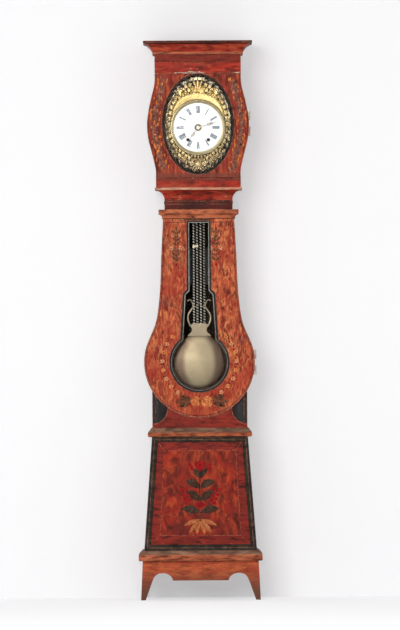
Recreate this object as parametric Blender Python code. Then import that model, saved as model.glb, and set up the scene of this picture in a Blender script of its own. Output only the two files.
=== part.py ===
"""Longcase clock with a violin-shaped painted case, modelled as separate pieces in metres.

X runs to the right seen from the front, -Y is the front and Z is up. The origin is on the floor,
under the middle of the case.
"""
import math

import bmesh
import bpy
from mathutils import Matrix, Vector

# Clearances
GAP = 0.0003
PIVOT_GAP = 0.0005
DOOR_GAP = 0.0015
LOCK_GAP = 0.0030

# Heights of the case parts, from the floor up
APRON_H = 0.168
PLINTH_H = 0.044
BASE_H = 0.488
TRUNK_FOOT_H = 0.038
TRUNK_H = 0.900
CAP_H = 0.039
NECK_H = 0.040
COVE_H = 0.054
LEDGE_T = 0.010
HOOD_RAIL_H = 0.041
HOOD_DOOR_H = 0.448
FRIEZE_H = 0.084
CORNICE_H = 0.056

# Half widths of the case; the parts of the base follow the plinth's, the mouldings what they sit on
PLINTH_HALF = 0.266
PLINTH_OVERHANG = 0.024
APRON_SETBACK = 0.017
APRON_SPLAY = 0.008
BASE_TAPER = 0.036
TRUNK_FOOT_OVERHANG = 0.018
SPANDREL_SETBACK = 0.002
BELLY_RADIUS = 0.238
TRUNK_TOP_HALF = 0.153
CAP_OVERHANG = 0.019
NECK_SETBACK = 0.007
HOOD_FOOT_HALF = 0.182
LEDGE_OVERHANG = 0.005
HOOD_SPREAD = 0.003
CORNICE_OVERHANG = 0.049
BASE_BOTTOM_HALF = PLINTH_HALF - PLINTH_OVERHANG
BASE_TOP_HALF = BASE_BOTTOM_HALF - BASE_TAPER
APRON_TOP_HALF = PLINTH_HALF - APRON_SETBACK
APRON_FOOT_HALF = APRON_TOP_HALF + APRON_SPLAY
TRUNK_FOOT_HALF = BASE_TOP_HALF + TRUNK_FOOT_OVERHANG
SPANDREL_HALF = BASE_TOP_HALF - SPANDREL_SETBACK
CAP_HALF = TRUNK_TOP_HALF + CAP_OVERHANG
NECK_HALF = TRUNK_TOP_HALF - NECK_SETBACK
LEDGE_HALF = HOOD_FOOT_HALF + LEDGE_OVERHANG
HOOD_TOP_HALF = HOOD_FOOT_HALF + HOOD_SPREAD
CORNICE_HALF = HOOD_TOP_HALF + CORNICE_OVERHANG

# Depths and board thicknesses
DEPTH = 0.330
BACK_T = 0.012
SIDE_T = 0.014
FRONT_T = 0.016
DOOR_T = 0.018
GLASS_T = 0.0025
PANEL_MOULDING_T = 0.008
HOOD_OVERHANG = 0.031
BASE_PROJECTION = 0.016

# Apron arches
ARCH_SPRING = 0.084
ARCH_RISE = 0.032
FOOT_TOE = 0.020
FOOT_CURVE = 0.058
ARCH_X = 0.1625
CUSP_X = 0.1185
BACK_FOOT_Z = 0.128

# Black frame of the base panel
FRAME_TOP = 0.021
FRAME_SIDE = 0.026
FRAME_BOTTOM = 0.026

# Trunk: the belly is a circle, and the waist follows (half width, height above the belly's centre)
BELLY_RISE = 0.282
WAIST_CURVE = [(0.2035, 0.128), (0.1895, 0.163), (0.179, 0.208), (0.1715, 0.268), (0.166, 0.340),
               (0.161, 0.470)]
WAIST_START = 24.0
RAIL_TIP_HALF = 0.139
RAIL_STRIP = 0.019
SLOT_HALF = 0.045
SLOT_TOP_RAIL = 0.012
SLOT_SHOULDER_HALF = 0.062
SLOT_FOOT_HALF = 0.074
SLOT_SHOULDER_Z = 0.292
SLOT_STEP = 0.018
WINDOW_RADIUS = 0.130
SPANDREL_ARC = 0.176

# Hood: (added half width, height above the hood door's foot)
HOOD_CURVE = [(0.0, 0.033), (0.007, 0.068), (0.020, 0.120), (0.0325, 0.171), (0.037, 0.233),
              (0.0305, 0.287), (0.020, 0.339), (0.007, 0.390), (0.003, 0.423)]
HOOD_BULGE_RISE = 0.233
OVAL_HALF_WIDTH = 0.148
OVAL_HALF_HEIGHT = 0.210
OVAL_RISE = 0.231

# Door hinges
HINGE_SPACE = 0.0030
LEAF_T = 0.0010
KNUCKLE_R = 0.0030
HINGE_PIN_R = 0.0014
KNUCKLE_H = 0.020
HINGE_SPREAD = 0.034
LEAF_W = 0.030

# Trunk door lock
LOCK_RISE = 0.494
LOCK_W = 0.032
LOCK_H = 0.050
LOCK_T = 0.015
BOLT_W = 0.012
BOLT_T = 0.005
BOLT_TRAVEL = 0.008

# Dial and hands
DIAL_RISE = 0.217
DIAL_R = 0.1100
DIAL_T = 0.0030
DIAL_SETBACK = 0.0250
BEZEL_R = 0.1200
BEZEL_T = 0.0060
SURROUND_T = 0.0020
SURROUND_MARGIN = 0.003
DIAL_HOLE_R = 0.0065
WIND_HOLE_R = 0.0062
MINUTE_HAND_L = 0.094
MINUTE_HAND_W = 0.0030
MINUTE_BOSS_R = 0.0085
HOUR_HAND_L = 0.064
HOUR_HAND_W = 0.0036
HOUR_BOSS_R = 0.0110
HAND_T = 0.0010
MINUTE_ANGLE = 73.0
HOUR_ANGLE = 216.0

# Movement frame and trains; centres are measured from the dial's centre
PLATE_HALF = 0.092
PLATE_T = 0.0030
FRAME_TOP_RISE = 0.083
FRAME_INSIDE = 0.097
PILLAR_R = 0.0055
COCK_T = 0.0030
COCK_W = 0.0080
STRAP_T = 0.0030
STRAP_W = 0.0120
STRAP_LAP = 0.020
CRUTCH_T = 0.0020
CRUTCH_W = 0.0060
CRUTCH_CLEARANCE = 0.0015
ANCHOR_ARM = [(0.006, -0.004), (0.014, -0.009), (0.018, -0.0148), (0.0215, -0.0115),
              (0.014, -0.001), (0.005, 0.0055)]
ARBOR_R = 0.0028
SEAT_T = 0.020
SEAT_RISE = 0.014
DRUM_X = 0.044
DRUM_DROP = 0.053
DRUM_R = 0.0270
DRUM_L = 0.056
LINE_R = 0.0015
SECOND_X = 0.033
TRAIN_MODULE = 0.00175
GREAT_TEETH = 48
SECOND_TEETH = 36
PINION_LEAVES = 8
ESCAPE_TEETH = 24
ESCAPE_R = 0.0240
ANCHOR_RISE = 0.034
WHEEL_T = 0.0030
MOTION_MODULE = 0.00108
CANNON_TEETH = 8
MOTION_TEETH = 24
MOTION_LEAVES = 8
HOUR_TEETH = 32

# Bell and hammer
BELL_R = 0.052
BELL_H = 0.046
BELL_T = 0.0035
BELL_RISE = 0.118
BELL_BOLT_R = 0.0030
HAMMER_X = 0.062
HAMMER_RISE = 0.060
HAMMER_CLEARANCE = 0.0065
HAMMER_HEAD_R = 0.008

# Pendulum
PENDULUM_T = 0.004
BOB_R = 0.1205
BOB_T = 0.030
ROD_SPACING = 0.0150
ROD_W = 0.0050
EYE_R = 0.0060
EYE_PIN_R = 0.0020
GRID_TOP_DROP = 0.058
GRID_FOOT_RISE = 0.290
CLASP_DROP = 0.1265
CLASP_H = 0.010
NUT_R = 0.011
NUT_H = 0.009
THREAD_R = 0.0027
BOB_TRAVEL = 0.004

# Driving weights
WEIGHT_R = 0.046
WEIGHT_H = 0.165
WEIGHT_TOP_Z = 1.520
STEM_H = 0.040
STEM_R = 0.0045

# Levels
PLINTH_Z = APRON_H
BASE_Z = PLINTH_Z + PLINTH_H
TRUNK_FOOT_Z = BASE_Z + BASE_H
TRUNK_Z = TRUNK_FOOT_Z + TRUNK_FOOT_H
CAP_Z = TRUNK_Z + TRUNK_H
NECK_Z = CAP_Z + CAP_H
COVE_Z = NECK_Z + NECK_H
HOOD_Z = COVE_Z + COVE_H
HOOD_DOOR_Z = HOOD_Z + HOOD_RAIL_H
FRIEZE_Z = HOOD_DOOR_Z + HOOD_DOOR_H
CORNICE_Z = FRIEZE_Z + FRIEZE_H
TOP_Z = CORNICE_Z + CORNICE_H
BELLY_Z = TRUNK_Z + BELLY_RISE
DIAL_Z = HOOD_DOOR_Z + DIAL_RISE
OVAL_Z = HOOD_DOOR_Z + OVAL_RISE
SEAT_Z = HOOD_DOOR_Z + SEAT_RISE
FRAME_Z = SEAT_Z + SEAT_T + GAP
FRAME_TOP_Z = DIAL_Z + FRAME_TOP_RISE

# Planes, front to back
BACK_Y = DEPTH / 2
SIDE_BACK_Y = BACK_Y - BACK_T - GAP
HOOD_FRONT_Y = -DEPTH / 2 + CORNICE_HALF - HOOD_TOP_HALF
HOOD_DOOR_BACK_Y = HOOD_FRONT_Y + DOOR_T
HOOD_SIDE_Y = HOOD_DOOR_BACK_Y + HINGE_SPACE
TRUNK_FRONT_Y = HOOD_FRONT_Y + HOOD_OVERHANG
TRUNK_DOOR_BACK_Y = TRUNK_FRONT_Y + DOOR_T
TRUNK_SIDE_Y = TRUNK_DOOR_BACK_Y + HINGE_SPACE
BASE_FRONT_Y = TRUNK_FRONT_Y - BASE_PROJECTION
APRON_FRONT_Y = BASE_FRONT_Y - APRON_TOP_HALF + BASE_BOTTOM_HALF
NECK_FRONT_Y = TRUNK_FRONT_Y + TRUNK_TOP_HALF - NECK_HALF
DIAL_Y = HOOD_FRONT_Y + DIAL_SETBACK
PENDULUM_Y = TRUNK_DOOR_BACK_Y + BOB_T / 2 + 0.006
FRAME_Y = PENDULUM_Y + 0.012
FRAME_BACK_Y = FRAME_Y + PLATE_T + FRAME_INSIDE


def clear_scene():
    """Start from an empty scene."""
    for old in list(bpy.data.objects):
        bpy.data.objects.remove(old, do_unlink=True)


# Materials: colour, roughness, metallic
FINISHES = {
    "red_painted_wood": ((0.42, 0.075, 0.03), 0.55, 0.0),
    "orange_painted_wood": ((0.55, 0.14, 0.035), 0.55, 0.0),
    "black_painted_wood": ((0.018, 0.020, 0.016), 0.5, 0.0),
    "bare_pine": ((0.42, 0.27, 0.14), 0.75, 0.0),
    "clear_glass": ((0.85, 0.9, 0.9), 0.05, 0.0),
    "brass": ((0.72, 0.50, 0.17), 0.3, 1.0),
    "iron": ((0.12, 0.12, 0.13), 0.45, 1.0),
    "steel": ((0.45, 0.45, 0.46), 0.35, 1.0),
    "white_enamel": ((0.86, 0.86, 0.84), 0.12, 0.0),
    "bell_metal": ((0.62, 0.52, 0.30), 0.3, 1.0),
    "gut_line": ((0.34, 0.26, 0.15), 0.7, 0.0),
}


def finish(name, slot):
    """A material of its own for one piece, in one of the clock's finishes."""
    colour, roughness, metallic = FINISHES[slot]
    made = bpy.data.materials.new(name + "_" + slot)
    made.use_nodes = True
    shader = made.node_tree.nodes["Principled BSDF"]
    shader.inputs["Base Color"].default_value = (*colour, 1.0)
    shader.inputs["Roughness"].default_value = roughness
    shader.inputs["Metallic"].default_value = metallic
    made.diffuse_color = (*colour, 1.0)
    return made


def pivot(name, location, parent=None):
    """An empty on a joint's axis; the pieces that turn or slide there are its children."""
    empty = bpy.data.objects.new(name, None)
    bpy.context.collection.objects.link(empty)
    place = Vector(location)
    if parent is not None:
        empty.parent = parent
        place = place - parent.matrix_world.translation
    empty.location = place
    bpy.context.view_layer.update()
    return empty


def piece(name, mesh, slot, carrier=None):
    """Link one finished piece, whose mesh is in world coordinates, under its pivot."""
    mesh.name = name
    mesh.materials.clear()
    mesh.materials.append(finish(name, slot))
    mesh.shade_smooth()
    mesh.set_sharp_from_angle(angle=math.radians(32))
    made = bpy.data.objects.new(name, mesh)
    bpy.context.collection.objects.link(made)
    if carrier is not None:
        made.parent = carrier
        mesh.transform(carrier.matrix_world.inverted())
    return made


def closed_mesh(bm):
    """Finish a closed bmesh with its faces pointing out."""
    bmesh.ops.recalc_face_normals(bm, faces=bm.faces[:])
    if bm.calc_volume(signed=True) < 0:
        bmesh.ops.reverse_faces(bm, faces=bm.faces[:])
    mesh = bpy.data.meshes.new("mesh")
    bm.to_mesh(mesh)
    bm.free()
    return mesh


# Faces are filled and Booleans worked at this scale, because their tolerances suit larger pieces
FILL_SCALE = 1000.0


def extruded(loops, corner, travel):
    """Fill the first loop, leave the others as holes and extrude the face along travel."""
    bm = bmesh.new()
    edges = []
    for loop in loops:
        verts = [bm.verts.new(Vector(corner(a, b)) * FILL_SCALE) for a, b in loop]
        edges += [bm.edges.new((verts[i - 1], verts[i])) for i in range(len(verts))]
    bmesh.ops.triangle_fill(bm, use_beauty=True, use_dissolve=False, edges=edges)
    bmesh.ops.scale(bm, verts=bm.verts[:], vec=[1 / FILL_SCALE] * 3)
    swept = bmesh.ops.extrude_face_region(bm, geom=bm.faces[:])
    moved = [item for item in swept["geom"] if isinstance(item, bmesh.types.BMVert)]
    bmesh.ops.translate(bm, verts=moved, vec=travel)
    return closed_mesh(bm)


def front_plate(loops, y0, y1):
    """A board cut to loops of (x, z), from y0 back to y1."""
    return extruded(loops, lambda x, z: (x, y0, z), (0, y1 - y0, 0))


def level_plate(loops, z0, z1):
    """A level board cut to loops of (x, y), from z0 up to z1."""
    return extruded(loops, lambda x, y: (x, y, z0), (0, 0, z1 - z0))


def side_plate(loops, x0, x1):
    """A board cut to loops of (y, z), from x0 to x1."""
    return extruded(loops, lambda y, z: (x0, y, z), (x1 - x0, 0, 0))


def rectangle(a0, a1, b0, b1):
    return [(a0, b0), (a1, b0), (a1, b1), (a0, b1)]


def box(x0, x1, y0, y1, z0, z1):
    return front_plate([rectangle(x0, x1, z0, z1)], y0, y1)


def arc(cx, cz, radius, start, end, steps):
    """Points of an arc, angles in degrees counter-clockwise from +X, both ends included."""
    turns = [math.radians(start + (end - start) * i / steps) for i in range(steps + 1)]
    return [(cx + radius * math.cos(t), cz + radius * math.sin(t)) for t in turns]


def circle(cx, cz, radius, sides):
    return arc(cx, cz, radius, 0.0, 360.0, sides)[:-1]


def smooth(points, steps=4):
    """Points along a Catmull-Rom curve through the given pairs."""
    made = []
    for i in range(len(points) - 1):
        before = Vector(points[max(i - 1, 0)])
        start = Vector(points[i])
        end = Vector(points[i + 1])
        after = Vector(points[min(i + 2, len(points) - 1)])
        for step in range(steps):
            t = step / steps
            curve = (2 * start + (end - before) * t
                     + (2 * before - 5 * start + 4 * end - after) * t ** 2
                     + (3 * start - before - 3 * end + after) * t ** 3) / 2
            made.append(tuple(curve))
    made.append(tuple(points[-1]))
    return made


def mirrored(points):
    """The same points on the other side of X = 0, in reverse order."""
    return [(-a, b) for a, b in reversed(points)]


def turned(profile, sides, corner, ring=False):
    """Turn (radius, height) points about an axis; a ring's profile is closed, a solid's ends on it."""
    bm = bmesh.new()
    rows = []
    for radius, height in profile:
        if radius < 1e-7:
            rows.append([bm.verts.new(corner(0.0, 0.0, height))] * sides)
            continue
        angles = [2 * math.pi * i / sides for i in range(sides)]
        rows.append([bm.verts.new(corner(radius * math.cos(t), radius * math.sin(t), height))
                     for t in angles])
    pairs = list(zip(rows, rows[1:]))
    if ring:
        pairs.append((rows[-1], rows[0]))
    for low, high in pairs:
        for i in range(sides):
            face = []
            for vert in (low[i - 1], low[i], high[i], high[i - 1]):
                if vert not in face:
                    face.append(vert)
            bm.faces.new(face)
    return closed_mesh(bm)


def along_y(cx, cz):
    """Axis parallel to Y through (cx, cz)."""
    return lambda a, b, t: (cx + a, t, cz + b)


def along_z(cx, cy):
    """Axis parallel to Z through (cx, cy)."""
    return lambda a, b, t: (cx + a, cy + b, t)


def rod(radius, start, end, corner, sides=12):
    """A plain round bar between two heights on its axis."""
    return turned([(0.0, start), (radius, start), (radius, end), (0.0, end)], sides, corner)


def combined(mesh, others, operation):
    """Boolean of one mesh with several others, one after another, baked to a new mesh."""
    corners = [vert.co for vert in mesh.vertices]
    centre = sum(corners, Vector()) / len(corners)
    for used in (mesh, *others):
        used.transform(Matrix.Scale(FILL_SCALE, 4) @ Matrix.Translation(-centre))
    for other in others:
        base = bpy.data.objects.new("base", mesh)
        tool = bpy.data.objects.new("tool", other)
        bpy.context.collection.objects.link(base)
        bpy.context.collection.objects.link(tool)
        step = base.modifiers.new("step", "BOOLEAN")
        step.operation = operation
        step.object = tool
        bpy.context.view_layer.update()
        shaped = base.evaluated_get(bpy.context.evaluated_depsgraph_get())
        mesh = triangulated(bpy.data.meshes.new_from_object(shaped))
        bpy.data.objects.remove(base, do_unlink=True)
        bpy.data.objects.remove(tool, do_unlink=True)
    mesh.transform(Matrix.Translation(centre) @ Matrix.Scale(1 / FILL_SCALE, 4))
    return mesh


def triangulated(mesh):
    """The same mesh in triangles, with points closer than a micrometre merged."""
    bm = bmesh.new()
    bm.from_mesh(mesh)
    bmesh.ops.remove_doubles(bm, verts=bm.verts[:], dist=FILL_SCALE * 1e-6)
    bmesh.ops.dissolve_degenerate(bm, dist=FILL_SCALE * 1e-6, edges=bm.edges[:])
    bmesh.ops.triangulate(bm, faces=bm.faces[:])
    bm.to_mesh(mesh)
    bm.free()
    return mesh


def fused(mesh, *others):
    return combined(mesh, others, "UNION")


def cut(mesh, *others):
    return combined(mesh, others, "DIFFERENCE")


def moulding(profile, half, front_y, back_y):
    """A mitred moulding round the front and both sides; profile points are (projection, z)."""
    bm = bmesh.new()
    stations = []
    for side, y_of in ((-1, lambda p: back_y), (-1, lambda p: front_y - p),
                       (1, lambda p: front_y - p), (1, lambda p: back_y)):
        stations.append([bm.verts.new((side * (half + p), y_of(p), z)) for p, z in profile])
    count = len(profile)
    for here, there in zip(stations, stations[1:]):
        for i in range(count):
            bm.faces.new((here[i - 1], here[i], there[i], there[i - 1]))
    for end in (stations[0], stations[-1]):
        edges = [bm.edges.get((end[i - 1], end[i])) for i in range(count)]
        bmesh.ops.triangle_fill(bm, use_beauty=True, use_dissolve=False, edges=edges)
    return closed_mesh(bm)


def mirror_x(mesh):
    """The mirror image of a mesh across X = 0."""
    made = mesh.copy()
    made.transform(Matrix.Scale(-1.0, 4, (1.0, 0.0, 0.0)))
    made.flip_normals()
    return made


def side_pair(name, mesh, slot):
    """A right-hand piece and its mirror image on the left."""
    left, right = name
    piece(left, mirror_x(mesh), slot)
    piece(right, mesh, slot)


# Outlines that several pieces share

def base_half(z):
    """Half width of the tapered base at a height."""
    share = (z - BASE_Z) / BASE_H
    return BASE_BOTTOM_HALF + (BASE_TOP_HALF - BASE_BOTTOM_HALF) * share


def belly_corner():
    """Angle, in degrees, at which the belly circle meets the straight sides of the spandrels."""
    return -math.degrees(math.acos(SPANDREL_HALF / BELLY_RADIUS))


def waist_points(top_z, steps=4):
    """Right-hand edge from the side of the belly up to the top of the trunk."""
    start = math.radians(WAIST_START)
    points = [(BELLY_RADIUS * math.cos(start), BELLY_Z + BELLY_RADIUS * math.sin(start))]
    points += [(half, BELLY_Z + rise) for half, rise in WAIST_CURVE]
    points.append((TRUNK_TOP_HALF, top_z))
    return smooth(points, steps)


def trunk_edge(foot_z, top_z, steps=4):
    """Right-hand outer edge of the trunk: straight spandrel, belly, waist."""
    belly = arc(0.0, BELLY_Z, BELLY_RADIUS, belly_corner(), WAIST_START, 3 * steps)
    return [(SPANDREL_HALF, foot_z)] + belly[:-1] + waist_points(top_z, steps)


def half_at(edge, z):
    """Half width of an edge at a height."""
    for low, high in zip(edge, edge[1:]):
        if low[1] <= z <= high[1]:
            return low[0] + (high[0] - low[0]) * (z - low[1]) / (high[1] - low[1])
    return edge[-1][0]


def hood_curve(foot_z, top_z, steps=4):
    """Right-hand edge of the bulged hood between two heights."""
    points = [(HOOD_FOOT_HALF, foot_z)]
    points += [(HOOD_FOOT_HALF + added, HOOD_DOOR_Z + rise) for added, rise in HOOD_CURVE]
    points.append((HOOD_TOP_HALF, top_z))
    return smooth(points, steps)


def hood_edge(foot_z, top_z, steps=4):
    """Right-hand outer edge of a hood side from the ledge to the cornice."""
    bulge = hood_curve(HOOD_DOOR_Z, FRIEZE_Z, steps)
    return [(HOOD_FOOT_HALF, foot_z)] + bulge + [(HOOD_TOP_HALF, top_z)]


def curved_side(edge, y0, y1):
    """A right-hand case side of even board thickness behind an outer edge."""
    inner = [(half - SIDE_T, z) for half, z in reversed(edge)]
    return front_plate([edge + inner], y0, y1)


# Base

def make_aprons():
    """Front apron with two arches and side aprons with one, standing on toes at the corners."""
    top = APRON_H - GAP
    arch_top = ARCH_SPRING + ARCH_RISE
    toe = APRON_FOOT_HALF - FOOT_TOE
    span = ARCH_X - CUSP_X
    arch = [(-1.0, 1.0), (-0.83, 0.53), (-0.60, 0.25), (-0.30, 0.07), (0.0, 0.0), (0.31, 0.05),
            (0.57, 0.18), (0.785, 0.43), (0.93, 0.77), (1.06, 1.18)]
    under = smooth([(ARCH_X + span * out, arch_top - ARCH_RISE * drop) for out, drop in arch])
    right = under + [(toe, 0.0), (APRON_FOOT_HALF, 0.0), (APRON_TOP_HALF, top)]
    piece("front_apron", front_plate([right + mirrored(right)], APRON_FRONT_Y, APRON_FRONT_Y + FRONT_T),
          "orange_painted_wood")
    front = APRON_FRONT_Y + FRONT_T + GAP
    heel = SIDE_BACK_Y - FOOT_TOE
    curve = [(FOOT_TOE, 0.0), (FOOT_TOE * 1.5, FOOT_CURVE), (FOOT_TOE * 3.0, ARCH_SPRING)]
    outline = [(front, top), (front, 0.0)] + smooth([(front + run, z) for run, z in curve])
    outline += smooth([(heel + FOOT_TOE - run, z) for run, z in reversed(curve)])
    outline += [(SIDE_BACK_Y, 0.0), (SIDE_BACK_Y, top)]
    board = side_plate([outline], APRON_TOP_HALF - SIDE_T, APRON_TOP_HALF)
    spread = APRON_FOOT_HALF - APRON_TOP_HALF
    for vert in board.vertices:
        vert.co.x += spread * (1 - vert.co.z / top)
    side_pair(("left_apron", "right_apron"), board, "orange_painted_wood")


def make_plinth():
    foot = PLINTH_Z + GAP
    reach = PLINTH_HALF - BASE_BOTTOM_HALF
    inner = -SIDE_T
    profile = [(inner, foot), (reach - 0.004, foot), (reach, foot + 0.005), (reach, foot + PLINTH_H * 0.60),
               (reach * 0.32, BASE_Z), (inner, BASE_Z)]
    piece("plinth_moulding", moulding(profile, BASE_BOTTOM_HALF, BASE_FRONT_Y, SIDE_BACK_Y),
          "orange_painted_wood")


def make_base():
    """Tapered front panel with its applied black frame, and two leaning sides."""
    foot = BASE_Z + GAP
    top = TRUNK_FOOT_Z - GAP
    panel = [(-base_half(foot), foot), (base_half(foot), foot), (base_half(top), top),
             (-base_half(top), top)]
    board = front_plate([panel], BASE_FRONT_Y, BASE_FRONT_Y + FRONT_T)
    piece("base_front_panel", board, "red_painted_wood")
    low = foot + FRAME_BOTTOM
    high = top - FRAME_TOP
    side = FRAME_SIDE
    window = [(-base_half(low) + side, low), (base_half(low) - side, low),
              (base_half(high) - side, high), (-base_half(high) + side, high)]
    face = BASE_FRONT_Y - GAP
    piece("base_panel_frame", front_plate([panel, window], face - PANEL_MOULDING_T, face),
          "black_painted_wood")
    board = [(base_half(foot) - SIDE_T, foot), (base_half(foot), foot),
             (base_half(top), top), (base_half(top) - SIDE_T, top)]
    leaning = front_plate([board], BASE_FRONT_Y + FRONT_T + GAP, SIDE_BACK_Y)
    side_pair(("base_left_side", "base_right_side"), leaning, "red_painted_wood")


# Trunk

def make_trunk_foot():
    foot = TRUNK_FOOT_Z + GAP
    reach = TRUNK_FOOT_HALF - SPANDREL_HALF
    inner = -(SIDE_T + FRONT_T)
    top = TRUNK_Z
    profile = [(inner, foot), (reach - 0.006, foot), (reach, foot + 0.005),
               (reach, foot + TRUNK_FOOT_H * 0.5),
               (0.004, top), (inner, top)]
    piece("trunk_foot_moulding", moulding(profile, SPANDREL_HALF, TRUNK_FRONT_Y, SIDE_BACK_Y),
          "red_painted_wood")


def lock_height():
    return BELLY_Z + LOCK_RISE


def lock_edge():
    """X of the lock's outer end, just inside the left trunk side."""
    return -(half_at(trunk_edge(TRUNK_Z, CAP_Z), lock_height()) - SIDE_T - LOCK_GAP)


def bolt_plane():
    """Middle of the bolt in Y, clear of the front edge of the trunk side."""
    return TRUNK_SIDE_Y + BOLT_T + GAP


def bolt_loop(clearance):
    """Cross-section of the bolt, or of a hole round it, as (y, z) points."""
    y = bolt_plane()
    z = lock_height()
    return rectangle(y - BOLT_T / 2 - clearance, y + BOLT_T / 2 + clearance,
                     z - BOLT_W / 2 - clearance, z + BOLT_W / 2 + clearance)


def make_trunk_boards():
    """Curved sides, the black spandrel board between them and the red rail below the door."""
    foot = TRUNK_Z + GAP
    edge = trunk_edge(foot, CAP_Z - GAP)
    side = curved_side(edge, TRUNK_SIDE_Y, SIDE_BACK_Y)
    left = mirror_x(side)
    piece("trunk_right_side", side, "red_painted_wood")
    edge = lock_edge()
    mortise = side_plate([bolt_loop(PIVOT_GAP)], edge - BOLT_TRAVEL - PIVOT_GAP, edge + BOLT_W)
    piece("trunk_left_side", cut(left, mortise), "red_painted_wood")
    half = SPANDREL_HALF - SIDE_T - GAP
    shoulder = BELLY_Z + BELLY_RADIUS * math.sin(math.radians(belly_corner())) - SIDE_T
    dip = math.degrees(math.asin((shoulder - BELLY_Z) / SPANDREL_ARC))
    hollow = arc(0.0, BELLY_Z, SPANDREL_ARC, dip, -180.0 - dip, 16)
    outline = [(-half, foot), (half, foot), (half, shoulder)] + hollow + [(-half, shoulder)]
    piece("trunk_spandrel_board", front_plate([outline], TRUNK_SIDE_Y, TRUNK_SIDE_Y + FRONT_T * 0.6),
          "black_painted_wood")
    reach = BELLY_RADIUS + DOOR_GAP
    tip = math.degrees(math.acos(RAIL_TIP_HALF / reach))
    tip_z = BELLY_Z - reach * math.sin(math.radians(tip))
    sweep = SPANDREL_HALF - RAIL_TIP_HALF
    flare = [(SPANDREL_HALF, foot)] + arc(SPANDREL_HALF, foot + RAIL_STRIP + sweep, sweep, -90.0, -180.0, 10)
    flare.append((RAIL_TIP_HALF, tip_z))
    rim = arc(0.0, BELLY_Z, reach, -tip, -180.0 + tip, 24)
    rail = flare + rim[1:-1] + mirrored(flare)
    piece("trunk_lower_rail", front_plate([rail], TRUNK_FRONT_Y, TRUNK_SIDE_Y - GAP), "red_painted_wood")


def make_trunk_cap():
    foot = CAP_Z + GAP
    reach = CAP_HALF - TRUNK_TOP_HALF
    inner = -(SIDE_T + FRONT_T * 0.7)
    bevel = foot + CAP_H * 0.52
    profile = [(inner, foot), (reach * 0.15, foot), (reach * 0.5, foot + CAP_H * 0.24), (reach, bevel),
               (reach, NECK_Z), (inner, NECK_Z)]
    piece("trunk_cap_moulding", moulding(profile, TRUNK_TOP_HALF, TRUNK_FRONT_Y, SIDE_BACK_Y),
          "red_painted_wood")


# Hood

def make_hood_base():
    """Dark neck, cove and ledge that carry the hood, in one moulding."""
    foot = NECK_Z + GAP
    inner = -0.020
    fillet = HOOD_Z - LEDGE_T
    reach = LEDGE_HALF - NECK_HALF
    cove = [(reach - 0.005 - (reach - 0.005) * math.cos(t), COVE_Z + (fillet - COVE_Z) * math.sin(t))
            for t in [math.radians(18 * i) for i in range(6)]]
    profile = [(inner, foot), (0.0, foot)] + cove + [(reach, fillet), (reach, HOOD_Z), (inner, HOOD_Z)]
    piece("hood_base_moulding", moulding(profile, NECK_HALF, NECK_FRONT_Y, SIDE_BACK_Y), "red_painted_wood")


def make_hood_boards():
    """Bulged sides, the rail under the door, the frieze above it and the top board."""
    side = curved_side(hood_edge(HOOD_Z + GAP, CORNICE_Z - GAP), HOOD_SIDE_Y, SIDE_BACK_Y)
    side_pair(("hood_left_side", "hood_right_side"), side, "red_painted_wood")
    back = HOOD_SIDE_Y - GAP
    piece("hood_bottom_rail", box(-HOOD_FOOT_HALF, HOOD_FOOT_HALF, HOOD_FRONT_Y, back,
                                  HOOD_Z + GAP, HOOD_DOOR_Z - GAP), "red_painted_wood")
    band = FRIEZE_Z + FRIEZE_H * 0.58
    section = [(back, FRIEZE_Z + GAP), (HOOD_FRONT_Y - 0.003, FRIEZE_Z + GAP), (HOOD_FRONT_Y - 0.003, band),
               (HOOD_FRONT_Y, band + 0.003), (HOOD_FRONT_Y, CORNICE_Z - GAP), (back, CORNICE_Z - GAP)]
    piece("hood_frieze", side_plate([section], -HOOD_TOP_HALF, HOOD_TOP_HALF), "red_painted_wood")
    lap = SIDE_T / 2
    foot = CORNICE_Z + GAP
    reach = CORNICE_HALF - HOOD_TOP_HALF
    hollow = [(0.19, 0.83), (0.26, 0.68), (0.36, 0.54), (0.49, 0.40), (0.66, 0.27), (0.85, 0.19), (1.0, 0.15)]
    profile = [(-lap, foot), (reach * 0.19, foot)]
    profile += [(reach * out, TOP_Z - CORNICE_H * drop) for out, drop in hollow]
    profile += [(reach, TOP_Z), (-lap, TOP_Z)]
    cornice = moulding(profile, HOOD_TOP_HALF, HOOD_FRONT_Y, SIDE_BACK_Y)
    piece("cornice_moulding", cornice, "red_painted_wood")
    half = HOOD_TOP_HALF - lap - GAP
    piece("hood_top_board", box(-half, half, HOOD_FRONT_Y + lap + GAP, SIDE_BACK_Y, foot, foot + BACK_T),
          "bare_pine")


def make_back_board():
    """One board that closes the back, cut to the outline of the whole case."""
    right = [(APRON_TOP_HALF, BACK_FOOT_Z), (APRON_TOP_HALF, PLINTH_Z), (BASE_BOTTOM_HALF, BASE_Z),
             (BASE_TOP_HALF, TRUNK_FOOT_Z)]
    right += trunk_edge(TRUNK_Z, CAP_Z, 2)
    right += [(TRUNK_TOP_HALF, NECK_Z), (NECK_HALF, NECK_Z), (NECK_HALF, HOOD_Z - LEDGE_T),
              (HOOD_FOOT_HALF, HOOD_Z - LEDGE_T)]
    right += hood_edge(HOOD_Z, CORNICE_Z + GAP + BACK_T, 2)
    piece("back_board", front_plate([right + mirrored(right)], BACK_Y - BACK_T, BACK_Y), "bare_pine")


LINE_X = DRUM_X + DRUM_R + GAP + LINE_R
LINE_Y = FRAME_Y + PLATE_T + FRAME_INSIDE * 0.62


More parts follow.
